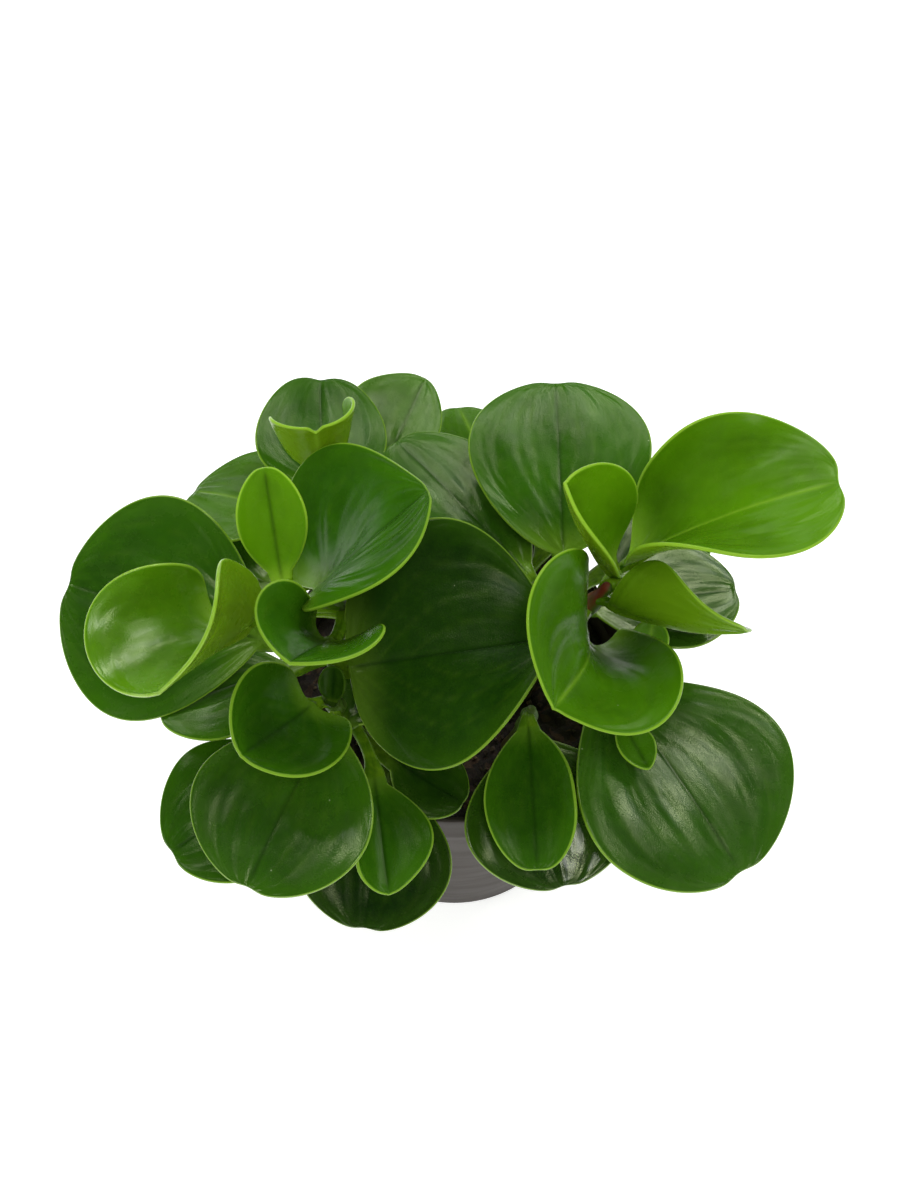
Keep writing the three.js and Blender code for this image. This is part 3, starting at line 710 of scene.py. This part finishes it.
def petiole_rings(key, leaf, stalk, ring, round_share):
    """Rings round a petiole from the stem to the blade, and a number from -1 to 0 for each.

    The axis is a quadratic curve that ends in the line of the midrib. It lies in one plane, so a ring's axes
    are the plane's normal and the direction at right angles to it and to the curve, turned by one fixed angle
    that brings the last ring's axes to the blade's. Towards the blade the circle widens and flattens into an
    ellipse.
    """
    start = stem_point(key, leaf["node"])
    zero = np.array([0.0])
    base = blade_point(zero, zero, leaf)[0]
    ahead = unit(blade_point(zero + 0.02, zero, leaf)[0] - base)
    across = unit(blade_point(zero, zero + 0.01, leaf)[0] - blade_point(zero, zero - 0.01, leaf)[0])
    base = base - 0.25 * np.cross(ahead, across)
    length = np.linalg.norm(base - start)
    bend = base - PETIOLE_BEND * length * ahead
    rows = max(6, int(round(length / PETIOLE_STEP)))
    h = np.linspace(0.02, 1, rows)[:-1, None]
    axis = quadratic(start, bend, base, h)
    tangent = unit((1 - h) * (bend - start) + h * (base - bend))
    flat = np.cross(bend - start, base - bend)
    flat = unit(flat) if np.linalg.norm(flat) > 1e-6 else unit(np.cross(ahead, across))
    beside = np.cross(flat, tangent)
    last = np.cross(flat, ahead)
    angle = math.atan2(float(across @ flat), float(across @ last))
    left = beside * math.cos(angle) + flat * math.sin(angle)
    up = np.cross(tangent, left)
    spread = smoothstep((h - 0.6) / 0.4)
    collar = 1 + 0.18 * hump(h, 0.12)
    wide = stalk * collar * (1 + 0.75 * spread**2)
    high = stalk * collar * (1 - 0.2 * spread)
    groove = 0.22 * stalk * hump(ring, 0.35) * (round_share > 0) * smoothstep(h / 0.3)
    offset = left[:, None, :] * (ring * wide)[..., None]
    offset = offset + up[:, None, :] * (round_share * high - groove)[..., None]
    return axis[:, None, :] + offset, h[:, 0] - 1


# Materials

class Paint:
    """A material and its shader. Most methods add nodes and return the socket that holds their result.

    An argument may be a number, a colour or the socket of another node.
    """

    def __init__(self, name):
        self.material = bpy.data.materials.new(name)
        self.material.use_nodes = True
        self.tree = self.material.node_tree
        self.tree.nodes.clear()
        self.shader = self.add("ShaderNodeBsdfPrincipled", {})
        self.add("ShaderNodeOutputMaterial", {"Surface": self.shader.outputs[0]})

    def feed(self, node, inputs):
        """Links the node's inputs to sockets, or sets them to numbers or colours."""
        for name, value in inputs.items():
            if isinstance(value, bpy.types.NodeSocket):
                self.tree.links.new(value, node.inputs[name])
            else:
                node.inputs[name].default_value = value

    def add(self, kind, inputs, **choices):
        """A new node with its choices made and its inputs fed."""
        node = self.tree.nodes.new(kind)
        for name, value in choices.items():
            setattr(node, name, value)
        self.feed(node, inputs)
        return node

    def finished(self, inputs):
        """The material, with the shader's inputs fed."""
        self.feed(self.shader, inputs)
        return self.material

    def attribute(self, name):
        """A number stored on the piece's points."""
        return self.add("ShaderNodeAttribute", {}, attribute_name=name).outputs["Fac"]

    def calculated(self, operation, first, second):
        """The result of an operation on two numbers."""
        return self.add("ShaderNodeMath", {0: first, 1: second}, operation=operation).outputs[0]

    def times(self, first, second):
        """The product of two numbers."""
        return self.calculated("MULTIPLY", first, second)

    def ranged(self, value, low, high, to_low=0.0, to_high=1.0):
        """The value carried from one range to another with smooth ends, and held at the ends."""
        inputs = {"Value": value, "From Min": low, "From Max": high, "To Min": to_low, "To Max": to_high}
        return self.add("ShaderNodeMapRange", inputs, interpolation_type="SMOOTHSTEP").outputs["Result"]

    def blended(self, share, first, second):
        """The colour between two colours, by a share from 0 to 1."""
        inputs = {0: share, 6: first, 7: second}
        return self.add("ShaderNodeMix", inputs, data_type="RGBA").outputs[2]

    def layered(self, lowest, *layers):
        """The lowest colour under further ones, each laid over it by its share from 0 to 1."""
        for share, layer in layers:
            lowest = self.blended(share, lowest, layer)
        return lowest

    def coordinates(self):
        """The piece's own coordinates."""
        return self.add("ShaderNodeTexCoord", {}).outputs["Object"]

    def noise(self, scale, detail=3.0, roughness=0.5, stretch=(1, 1, 1), offset=(0, 0, 0)):
        """Noise on the piece's own coordinates, which may be stretched along an axis."""
        inputs = {"Vector": self.coordinates(), "Location": offset, "Scale": stretch}
        mapped = self.add("ShaderNodeMapping", inputs).outputs["Vector"]
        inputs = {"Vector": mapped, "Scale": scale, "Detail": detail, "Roughness": roughness}
        return self.add("ShaderNodeTexNoise", inputs).outputs["Fac"]

    def streaks(self, scale, detail, shift):
        """Noise stretched along the lateral veins, on the way along the leaf and the way across its veins."""
        plane = {0: self.attribute("run"), 1: self.attribute("flow"), 2: shift}
        mapped = self.add("ShaderNodeCombineXYZ", plane).outputs[0]
        inputs = {"Vector": mapped, "Scale": scale, "Detail": detail}
        return self.add("ShaderNodeTexNoise", inputs).outputs["Fac"]

    def cells(self, scale):
        """The distance to the nearest of many scattered points, and that point's random colour."""
        node = self.add("ShaderNodeTexVoronoi", {"Vector": self.coordinates(), "Scale": scale})
        return node.outputs["Distance"], node.outputs["Color"]

    def bump(self, height, strength, distance, over=None):
        """A bump by a height, and over another bump if one is given."""
        inputs = {"Height": height, "Strength": strength, "Distance": distance}
        if over is not None:
            inputs["Normal"] = over
        return self.add("ShaderNodeBump", inputs).outputs["Normal"]


def leaf_material(name, leaf, settings):
    """Waxy leaf: a green upper face with paler midrib, veins and margin, and a light underside.

    The tone picks the green between deep, mature and young, and dull moves it towards a greyish green, which
    is painted sheen of mirrored light. Slow noise varies it. The midrib is a pale line on bright leaves, and
    on the oldest and on the newest a dark one, which is painted shade in its groove. A fine grain of cells,
    and streaks along the veins, break up the gloss.
    """
    paint = Paint(name)
    tone, painted_sheen, gloss = leaf["tone"], leaf["painted_sheen"], leaf["gloss"]
    if tone < MATURE_TONE:
        green = mixed(settings.deep, settings.mature, tone / MATURE_TONE)
    else:
        green = mixed(settings.mature, settings.young, (tone - MATURE_TONE) / (1 - MATURE_TONE))
    # Painted sheen: dull mixes the green, the underside and the margin towards a greyish green.
    green = mixed(green, settings.sheen_grey, 0.45 * painted_sheen)
    dark = mixed(green, settings.deep, 0.42)
    light = mixed(green, settings.young, 0.2)
    strong = 0.55 + 0.4 * tone
    under = mixed(mixed(green, settings.under, strong * leaf["under"]), settings.sheen_grey, 0.3 * painted_sheen)
    pale = mixed(mixed(green, settings.pale, strong), settings.sheen_grey, 0.2 * painted_sheen)
    # A pale midrib line on leaves of middle tone; on the others a line darkened towards deep green, painted
    # shade in the midrib's groove.
    crease = mixed(green, pale, 0.6) if 0.5 < tone < 0.9 else mixed(green, settings.deep, 0.8)

    edge, along, midrib = paint.attribute("edge"), paint.attribute("along"), paint.attribute("midrib")
    shift = (0.31 * len(name), 0.17 * sum(name.encode()), 0.0)
    mottle = paint.noise(34, detail=4, roughness=0.55, offset=shift)
    fine = paint.noise(260, detail=3, roughness=0.6, offset=shift)
    distance, scatter = paint.cells(420)
    speck = paint.times(paint.ranged(distance, 0.13, 0.06), paint.ranged(scatter, 0.9, 0.91))
    upper_face = paint.layered(
        dark,
        (paint.ranged(mottle, 0.32, 0.68), green),
        (paint.ranged(fine, 0.35, 0.75, 0.0, 0.22), light),
        (paint.ranged(edge, 0.5, 9.0, 0.4, 0.0), light),
        (paint.ranged(along, 0.0, 0.22, 0.25 + 0.35 * tone, 0.0), pale),
        (paint.times(paint.attribute("veins"), 0.05), pale),
        (paint.times(midrib, 0.6), crease),
        (paint.times(speck, 0.45), srgb(200, 214, 170)),
    )
    # The petiole is darkened towards the leaf green, as painted shade where it lies under the blades.
    petiole = paint.ranged(fine, 0.35, 0.7)
    petiole = paint.blended(petiole, mixed(under, green, 0.6), mixed(under, pale, 0.15))
    margin = settings.margin_width
    faces = paint.layered(
        under,
        (paint.ranged(mottle, 0.3, 0.7, 0.0, 0.3), green),
        (paint.times(midrib, 0.5), pale),
        (paint.ranged(paint.attribute("upper"), 0.3, 0.7), upper_face),
        (paint.ranged(edge, margin * 0.45, margin * 1.3, 0.75 * leaf["line"], 0.0), pale),
        (paint.ranged(along, -0.02, 0.015, 1.0, 0.0), petiole),
    )

    wax = paint.noise(90, detail=5, roughness=0.62, offset=shift)
    grained = paint.bump(paint.cells(2600)[0], 0.22, 0.00012)
    waxed = paint.bump(wax, 0.25, 0.0004, grained)
    pucker = paint.times(paint.streaks(0.14, 1.3, 3.7 * shift[1]), paint.ranged(along, 0.05, 0.5))
    return paint.finished({
        "Base Color": faces,
        "Roughness": paint.ranged(wax, 0.3, 0.7, 0.18, 0.34),
        "IOR": 1.42,
        "Specular IOR Level": min(0.5 * gloss, 1.0),
        "Specular Tint": (0.9, 1.0, 0.55, 1),
        "Coat Weight": min(0.1 * gloss, 1.0),
        "Coat Roughness": 0.18,
        "Subsurface Weight": 0.04 + 0.08 * tone,
        "Subsurface Radius": (0.5, 1.0, 0.15),
        "Subsurface Scale": 0.0025,
        "Normal": paint.bump(pucker, 0.6 * leaf["relief"], 0.0024, waxed),
    })


def stem_material(settings, blush):
    """Fleshy stem: brown and streaked at the bottom, green at the top, with pores and perhaps a blush."""
    paint = Paint("stem_blush" if blush else "stem_green")
    streak = paint.noise(130, detail=5, roughness=0.6, stretch=(1, 1, 0.22))
    streaked = paint.times(paint.calculated("SUBTRACT", streak, 0.5), 0.9)
    age = paint.calculated("ADD", paint.attribute("along"), streaked)
    body = paint.blended(paint.ranged(age, 0.15, 0.8), settings.brown, settings.green)
    mottle = paint.ranged(paint.noise(420), 0.45, 0.7, 0.0, 0.35)
    body = paint.blended(mottle, body, mixed(settings.brown, settings.green, 0.2))
    if blush:
        patch = paint.times(paint.attribute("lit"), paint.ranged(streak, 0.3, 0.6, 0.35, 1.0))
        body = paint.blended(patch, body, settings.blush)
    distance, scatter = paint.cells(620)
    pore = paint.times(paint.ranged(distance, 0.3, 0.12), paint.ranged(scatter, 0.75, 0.8))
    return paint.finished({
        "Base Color": paint.blended(paint.times(pore, 0.25), body, srgb(150, 140, 96)),
        "Roughness": 0.5,
        "Specular IOR Level": 0.3,
        "Subsurface Weight": 0.05,
        "Subsurface Radius": (0.6, 1.0, 0.3),
        "Subsurface Scale": 0.002,
        "Normal": paint.bump(pore, 0.4, 0.0003, paint.bump(streak, 0.5, 0.0006)),
    })


def plastic_material(settings):
    """Moulded taupe plastic, darker all over as painted shade, with a fine grain, faint flow marks and some
    dust of soil near the rim.
    """
    paint = Paint("pot_plastic")
    base = tuple(settings.plastic)
    cloud = paint.ranged(paint.noise(26, detail=5, roughness=0.6), 0.3, 0.7)
    body = paint.blended(cloud, mixed(base, (0, 0, 0, 1), 0.1), mixed(base, (1, 1, 1, 1), 0.01))
    dust = paint.times(paint.attribute("dust"), paint.ranged(paint.noise(190, detail=6), 0.42, 0.68))
    flow = paint.noise(60, stretch=(0.4, 0.4, 3.0))
    grained = paint.bump(paint.noise(1500, detail=2), 0.12, 0.0002)
    return paint.finished({
        "Base Color": paint.blended(paint.times(dust, 0.7), body, settings.soil),
        "Roughness": paint.ranged(flow, 0.3, 0.7, 0.46, 0.58),
        "Specular IOR Level": 0.3,
        "Normal": paint.bump(flow, 0.04, 0.0006, grained),
    })


def soil_material(settings, name="soil_crumbs", light=0.0):
    """Moist crumbs of potting mix: dark browns from crumb to crumb, rough, with a fine gritty bump."""
    paint = Paint(name)
    base = mixed(settings.soil, srgb(150, 128, 96), light)
    warm = mixed(base, srgb(112, 78, 48), 0.35)
    clump = paint.noise(240, detail=6, roughness=0.7)
    grit = paint.noise(1400, detail=4, roughness=0.7)
    body = paint.blended(paint.ranged(clump, 0.3, 0.72), mixed(base, (0, 0, 0, 1), 0.55), base)
    return paint.finished({
        "Base Color": paint.blended(paint.ranged(paint.cells(380)[1], 0.55, 0.9, 0.0, 0.7), body, warm),
        "Roughness": paint.ranged(grit, 0.3, 0.7, 0.75, 0.95),
        "Normal": paint.bump(grit, 0.6, 0.0005, paint.bump(clump, 0.7, 0.0016)),
    })


# Pieces

def lathe(name, profile, segments):
    """A closed surface of revolution: the profile's radii and heights carried round the z axis.

    The profile starts and ends on the axis, so its first and last points close the surface.
    """
    radius, height = np.array(profile[1:-1], float).T
    rings = on_circle(radius[:, None], circle(segments), height[:, None])
    points = np.concatenate([rings.reshape(-1, 3), [(0, 0, profile[0][1]), (0, 0, profile[-1][1])]])
    total = len(rings) * segments
    return mesh_from(name, points, *tube_faces(len(rings), segments, total, total + 1))


def arc(centre, radius, first, last, steps):
    """Points of a round corner of the profile, from one angle to another in degrees."""
    angles = np.radians(np.linspace(first, last, steps + 1))
    return [(centre[0] + radius * math.cos(a), centre[1] + radius * math.sin(a)) for a in angles]


def between(first, last, steps):
    """Points on a straight stretch of the profile, both ends included."""
    return [tuple(p) for p in np.linspace(first, last, steps + 1)]


def pot_profile():
    """The pot's section from the centre of its underside, up the outside, over the lip and down inside."""
    collar = POT_HEIGHT - COLLAR_HEIGHT
    inner = NECK_RADIUS - WALL
    lip = WALL / 2
    crown = POT_HEIGHT - lip
    lean = (NECK_RADIUS - FOOT_RADIUS) / (collar - 1 - EDGE)
    band = collar - BAND_HEIGHT
    band_radius = FOOT_RADIUS + lean * (band - EDGE)
    outside = (
        [(0, 0)]
        + between((4, 0), (FOOT_RADIUS - EDGE - 1, 0), 9)
        + arc((FOOT_RADIUS - EDGE, EDGE), EDGE, -90, 0, 6)
        + between((FOOT_RADIUS + 0.1, EDGE + 0.7), (band_radius, band), 14)
        + [(band_radius + 0.35, band + 0.5), (band_radius + 0.45, band + 1.0)]
        + between((band_radius + 0.55, band + 1.6), (NECK_RADIUS, collar - 1), 4)
        + [(NECK_RADIUS + 0.5, collar - 0.9), (NECK_RADIUS + 2.1, collar - 0.3)]
        + arc((RIM_RADIUS - 1.5, collar + 0.9), 1.2, -70, 0, 4)
        + between((RIM_RADIUS - 0.28, collar + 1.6), (RIM_RADIUS - 0.05, crown - 2.0), 4)
        + [(RIM_RADIUS, crown - 1.2)]
    )
    inside = (
        arc((RIM_RADIUS - lip, crown), lip, 0, 180, 10)
        + between((RIM_RADIUS - WALL - 0.1, crown - 1), (RIM_RADIUS - WALL - 0.5, collar + 2.4), 4)
        + between((inner, collar - 1), (FOOT_RADIUS - WALL + 0.3, FLOOR + 1.2), 16)
        + arc((FOOT_RADIUS - WALL - 0.6, FLOOR + 0.9), 0.9, 0, -90, 4)
        + between((FOOT_RADIUS - WALL - 2, FLOOR), (4, FLOOR), 9)
        + [(0, FLOOR)]
    )
    return outside + inside


def drain_cutters():
    """Upright pegs on the drain circle in one mesh, to be cut out of the floor."""
    ends = np.array([(0, 0, -2.0), (0, 0, FLOOR + 2.0)])
    rings = [on_circle(DRAIN_RADIUS, circle(DRAIN_SIDES), height) for height in ends[:, 2]]
    peg = np.concatenate([*rings, ends])
    faces = tube_faces(2, DRAIN_SIDES, 2 * DRAIN_SIDES, 2 * DRAIN_SIDES + 1)
    centres = on_circle(DRAIN_CIRCLE, circle(DRAIN_COUNT, 0.5), 0.0)
    first = len(peg) * np.arange(DRAIN_COUNT)[:, None, None]
    quads, triangles = ((first + part).reshape(-1, part.shape[1]) for part in faces)
    return mesh_from("drain_cutters", (centres[:, None] + peg).reshape(-1, 3), quads, triangles)


def pot_piece(settings):
    """The pot: the turned section with its drain holes cut by a Boolean modifier that is then applied."""
    pot = lathe("nursery_pot", pot_profile(), settings.segments)
    cutters = drain_cutters()
    cut = pot.modifiers.new("drain_holes", "BOOLEAN")
    cut.operation = "DIFFERENCE"
    cut.solver = "EXACT"
    cut.object = cutters
    graph = bpy.context.evaluated_depsgraph_get()
    drilled = bpy.data.meshes.new_from_object(pot.evaluated_get(graph))
    pot.modifiers.clear()
    pot.data = drilled
    cutter_mesh = cutters.data
    bpy.data.objects.remove(cutters)
    bpy.data.meshes.remove(cutter_mesh)
    points = np.empty(len(pot.data.vertices) * 3)
    pot.data.vertices.foreach_get("co", points)
    x, y, z = points.reshape(-1, 3).T / MM
    inside = np.hypot(x, y) < RIM_RADIUS - 1.4
    put_values(pot, dust=smoothstep((z - SOIL_TOP + 6) / 6) * inside * smoothstep((POT_HEIGHT - z) / 6))
    pot.data.set_sharp_from_angle(angle=math.radians(38))
    pot.data.materials.append(plastic_material(settings))
    place(pot, "pot", "pot")


def soil_height(x, y, draw):
    """Height of the soil's top over SOIL_TOP: the highest of many half sunk round crumbs at each point."""
    radius = draw.uniform(0.5, 1.9, CRUMB_COUNT)
    turn = draw.uniform(0, 2 * np.pi, CRUMB_COUNT)
    out = CRUMB_SPREAD * np.sqrt(draw.uniform(0, 1, CRUMB_COUNT))
    sunk = draw.uniform(-0.9, 0.1, CRUMB_COUNT)
    far = (x[:, None] - out * np.cos(turn)) ** 2 + (y[:, None] - out * np.sin(turn)) ** 2
    crumb = np.sqrt(np.clip(radius**2 - far, 0, None)) + sunk - 0.35 * radius
    crumb = np.where(far < radius**2, crumb, CRUMB_FLOOR)
    swell = waves(x, y, seed=5, count=6, shortest=14, longest=40)
    return np.maximum(crumb.max(axis=1), CRUMB_FLOOR) + 0.35 * swell


def soil_piece(settings):
    """The soil: a disc of crumbs that fills the pot, with a plain tapered side and underside below."""
    neck = NECK_RADIUS - WALL - SOIL_GAP
    edge = neck + 0.6
    low = FLOOR + SOIL_GAP
    angle = circle(SOIL_SIDES)
    top = on_circle(edge * np.arange(1, SOIL_RINGS + 1)[:, None] / SOIL_RINGS, angle, 0.0).reshape(-1, 3)
    x, y = top[:, 0], top[:, 1]
    near_wall = smoothstep((np.hypot(x, y) - edge + 1.5) / 1.5)
    rise = soil_height(x, y, np.random.default_rng(SEED))
    top[:, 2] = SOIL_TOP + rise * (1 - near_wall) - 0.9 * near_wall
    shoulder = on_circle(neck, angle, POT_HEIGHT - COLLAR_HEIGHT - 1 - SOIL_GAP)
    foot = on_circle(FOOT_RADIUS - WALL - SOIL_GAP, angle, low)
    points = np.concatenate([top, shoulder, foot, [(0, 0, SOIL_TOP), (0, 0, low)]])
    rows = SOIL_RINGS + 2
    total = rows * SOIL_SIDES
    soil = mesh_from("potting_mix", points, *tube_faces(rows, SOIL_SIDES, total, total + 1))
    soil.data.materials.append(soil_material(settings))
    place(soil, "soil", "soil")


def chips_piece(name, material, seed, count, size):
    """Loose bits on the soil: an eight sided lump, each copy stretched, turned and moved by a seeded draw."""
    draw = np.random.default_rng(seed)
    corner = np.array([(1, 0, 0), (-1, 0, 0), (0, 1, 0), (0, -1, 0), (0, 0, 1), (0, 0, -1)], float)
    above = [(0, 2, 4), (2, 1, 4), (1, 3, 4), (3, 0, 4)]
    below = [(2, 0, 5), (1, 2, 5), (3, 1, 5), (0, 3, 5)]
    lumps = corner * draw.uniform(0.6, 1.0, (count, 6, 1)) * draw.uniform(0.4, 1.0, (count, 1, 3))
    lumps = lumps * (size * draw.uniform(0.5, 1.0, (count, 1, 1)))
    turn, lean = draw.uniform(0, 2 * np.pi, (2, count))
    c, s, zero, one = np.cos(turn), np.sin(turn), np.zeros(count), np.ones(count)
    about_z = np.stack([c, -s, zero, s, c, zero, zero, zero, one], axis=-1).reshape(-1, 3, 3)
    c, s = np.cos(lean), np.sin(lean)
    about_x = np.stack([one, zero, zero, zero, c, -s, zero, s, c], axis=-1).reshape(-1, 3, 3)
    lumps = np.einsum("nij,njk,nvk->nvi", about_z, about_x, lumps)
    out = CHIP_SPREAD * np.sqrt(draw.uniform(0, 1, count))
    centre = on_circle(out, draw.uniform(0, 2 * np.pi, count), SOIL_TOP + 0.5)
    points = (lumps + centre[:, None, :]).reshape(-1, 3)
    triangles = (np.array(above + below) + 6 * np.arange(count)[:, None, None]).reshape(-1, 3)
    chips = mesh_from(name, points, np.zeros((0, 4), int), triangles)
    chips.data.polygons.foreach_set("use_smooth", np.zeros(len(triangles), bool))
    chips.data.materials.append(material)
    place(chips, "soil")


def stem_piece(key, material):
    """A stem: rings carried along its curve, thicker where a petiole leaves it and ringed by small scars."""
    h = np.linspace(0, 1, STEM_ROWS)
    curve = stem_point(key, h)
    length = np.linalg.norm(np.diff(curve, axis=0), axis=1).sum()
    sunk = np.repeat([STEMS[key][0]], SUNK_ROWS, axis=0).astype(float)
    sunk[:, 2] = np.linspace(SOIL_TOP - STEM_DEPTH, SOIL_TOP + 1, SUNK_ROWS)
    axis = np.concatenate([sunk, curve])
    h = np.concatenate([np.zeros(SUNK_ROWS), h])
    tangent = unit(np.gradient(axis, axis=0))
    beside = unit(np.cross(tangent, np.array([0.0, 1.0, 0.0])))
    other = np.cross(tangent, beside)
    angle = circle(STEM_SIDES)
    out = beside[:, None] * np.cos(angle)[:, None] + other[:, None] * np.sin(angle)[:, None]

    nodes = np.array([leaf["node"] for name, leaf in LEAVES.items() if name[0] == key])
    off = (h[:, None] - nodes) * length
    radius = STEM_RADIUS + (STEM_TIP_RADIUS - STEM_RADIUS) * h
    swelling = 0.45 * hump(off, 2.2).max(axis=1)
    scar = 0.22 * hump(off + 2.6, 0.45).max(axis=1)
    taper = 1 - 0.35 * smoothstep((h - 0.82) / 0.15)
    round_tip = np.sqrt(np.clip(1 - ((h - 0.97) / 0.031).clip(0, 1) ** 2, 0.02, 1))
    radius = (radius + swelling - scar) * taper * round_tip
    along = np.repeat(h[:, None], STEM_SIDES, axis=1)
    uneven = waves(along * length, radius[:, None] * angle, 3 + ord(key), count=6, shortest=3, longest=9)
    rings = axis[:, None] + out * (radius[:, None] * (1 + 0.03 * uneven))[..., None]
    points = np.concatenate([rings.reshape(-1, 3), axis[:1], axis[-1:]])
    total = len(axis) * STEM_SIDES
    stem = mesh_from("stem_" + key, points, *tube_faces(len(axis), STEM_SIDES, total, total + 1))

    towards = np.array([-0.6, -0.2, 0.75])
    lit = smoothstep((out @ towards) * 1.6) * smoothstep((h - 0.45) / 0.2)[:, None]
    put_values(
        stem,
        along=np.concatenate([along.ravel(), [0, 1]]),
        lit=np.concatenate([lit.ravel(), [0, 0]]),
    )
    stem.data.materials.append(material)
    place(stem, "leaves", "shoot_" + key)


# Studio

def seen_from(name, data, compass, height, distance):
    """A light or camera that faces AIM from a compass and height angle in degrees, so many metres away."""
    turn, rise = math.radians(compass), math.radians(height)
    out = Vector((math.cos(turn) * math.cos(rise), math.sin(turn) * math.cos(rise), math.sin(rise)))
    made = new_object(name, data)
    made.location = AIM + out * distance
    made.rotation_euler = (-out).to_track_quat("-Z", "Y").to_euler()
    return made


def area_light(name, compass, height, distance, size, power, mirrored=True):
    """A rectangular light. One that isn't mirrored lights the surfaces but leaves no highlight."""
    data = bpy.data.lights.new(name, "AREA")
    data.shape = "RECTANGLE"
    data.size, data.size_y = size
    data.energy = power
    seen_from(name, data, compass, height, distance).visible_glossy = mirrored


def studio(scene, settings):
    """A pale, lit floor, a surround without highlights, panels high behind, wide lights and the camera."""
    world = bpy.data.worlds.new("soft_surround")
    world.use_nodes = True
    scene.world = world
    background = world.node_tree.nodes["Background"]
    background.inputs["Color"].default_value = (1, 1, 1, 1)
    background.inputs["Strength"].default_value = settings.ambient
    world.cycles_visibility.glossy = False

    floor_mesh = bpy.data.meshes.new("floor")
    square = [(FLOOR_HALF * x, FLOOR_HALF * y, 0) for x, y in ((-1, -1), (1, -1), (1, 1), (-1, 1))]
    floor_mesh.from_pydata(square, [], [(0, 1, 2, 3)])
    floor_mesh.materials.append(Paint("pale_floor").finished({
        "Base Color": (0.92, 0.92, 0.92, 1),
        "Roughness": 0.9,
        "Specular IOR Level": 0.1,
        "Emission Color": (1, 1, 1, 1),
        "Emission Strength": settings.floor_glow,
    }))
    new_object("floor", floor_mesh)

    for index, compass in enumerate((20, 56, 86, 114, 148)):
        area_light("window_%d" % index, compass, 55, 1.6, (0.24, 0.44), settings.window)
    area_light("backdrop", 95, 20, 1.6, (1.2, 0.4), settings.backdrop)
    area_light("top", 284, 62, 1.6, (0.26, 0.26), settings.top)
    area_light("key", 205, 21, 2.25, (2.0, 1.2), settings.key, mirrored=False)
    area_light("fill", 335, 21, 2.25, (2.0, 1.2), settings.fill, mirrored=False)
    area_light("front", 270, 21, 2.25, (2.0, 1.0), settings.front, mirrored=False)

    camera = bpy.data.cameras.new("camera")
    camera.lens = settings.lens
    camera.sensor_width = 36
    camera.clip_start = 0.02
    scene.camera = seen_from("camera", camera, 270, settings.elevation, settings.distance)
    scene.view_settings.view_transform = "Standard"


# Operators

class PEPEROMIA_OT_studio(bpy.types.Operator):
    """Sets up the floor, the lights and the camera."""

    bl_idname = "peperomia.studio"
    bl_label = "Studio"

    def execute(self, context):
        studio(context.scene, context.scene.peperomia_studio)
        return {"FINISHED"}


class PEPEROMIA_OT_pot(bpy.types.Operator):
    """Builds the nursery pot with its collar, lip and drain holes."""

    bl_idname = "peperomia.pot"
    bl_label = "Pot"

    def execute(self, context):
        pot_piece(context.scene.peperomia_pot)
        return {"FINISHED"}


class PEPEROMIA_OT_soil(bpy.types.Operator):
    """Builds the potting mix with loose bark and light grains on it."""

    bl_idname = "peperomia.soil"
    bl_label = "Soil"

    def execute(self, context):
        settings = context.scene.peperomia_pot
        soil_piece(settings)
        bark = soil_material(settings, "bark", light=0.12)
        grain = soil_material(settings, "light_grain", light=0.8)
        chips_piece("bark_bits", bark, seed=3, count=220, size=2.4)
        chips_piece("light_grains", grain, seed=4, count=46, size=1.5)
        return {"FINISHED"}


class PEPEROMIA_OT_stems(bpy.types.Operator):
    """Builds the six stems."""

    bl_idname = "peperomia.stems"
    bl_label = "Stems"

    def execute(self, context):
        settings = context.scene.peperomia_stem
        plain = stem_material(settings, False)
        blush = stem_material(settings, True)
        for key in STEMS:
            stem_piece(key, blush if key == "c" else plain)
        return {"FINISHED"}


class PEPEROMIA_OT_leaves(bpy.types.Operator):
    """Builds every leaf with its petiole and its own material."""

    bl_idname = "peperomia.leaves"
    bl_label = "Leaves"

    def execute(self, context):
        settings = context.scene.peperomia_leaf
        for name, given in LEAVES.items():
            leaf = {**LEAF_DEFAULTS, **given}
            piece = leaf_piece("leaf_" + name, name[0], leaf, settings)
            piece.data.materials.append(leaf_material("leaf_" + name, leaf, settings))
            place(piece, "leaves", "shoot_" + name[0])
        return {"FINISHED"}


class PEPEROMIA_PT_panel(bpy.types.Panel):
    """Lists the operators and the settings."""

    bl_idname = "PEPEROMIA_PT_panel"
    bl_label = "Potted peperomia"
    bl_space_type = "VIEW_3D"
    bl_region_type = "UI"
    bl_category = "Peperomia"

    def draw(self, context):
        layout = self.layout
        for operator in STEPS:
            layout.operator(operator)
        for group in GROUPS:
            settings = getattr(context.scene, group)
            for name in settings.__annotations__:
                layout.prop(settings, name)


GROUPS = {
    "peperomia_leaf": LeafSettings,
    "peperomia_stem": StemSettings,
    "peperomia_pot": PotSettings,
    "peperomia_studio": StudioSettings,
}
STEPS = ("peperomia.studio", "peperomia.pot", "peperomia.soil", "peperomia.stems", "peperomia.leaves")
CLASSES = (
    *GROUPS.values(),
    PEPEROMIA_OT_studio,
    PEPEROMIA_OT_pot,
    PEPEROMIA_OT_soil,
    PEPEROMIA_OT_stems,
    PEPEROMIA_OT_leaves,
    PEPEROMIA_PT_panel,
)


def register():
    """Registers the classes and hangs the settings on the scene."""
    for cls in CLASSES:
        bpy.utils.register_class(cls)
    for name, group in GROUPS.items():
        setattr(bpy.types.Scene, name, PointerProperty(type=group))


def unregister():
    """Takes the settings and the classes away again."""
    for name in GROUPS:
        delattr(bpy.types.Scene, name)
    for cls in reversed(CLASSES):
        bpy.utils.unregister_class(cls)


def main():
    """Builds the studio and every piece."""
    register()
    for step in STEPS:
        group, name = step.split(".")
        getattr(getattr(bpy.ops, group), name)()


if __name__ == "__main__":
    main()
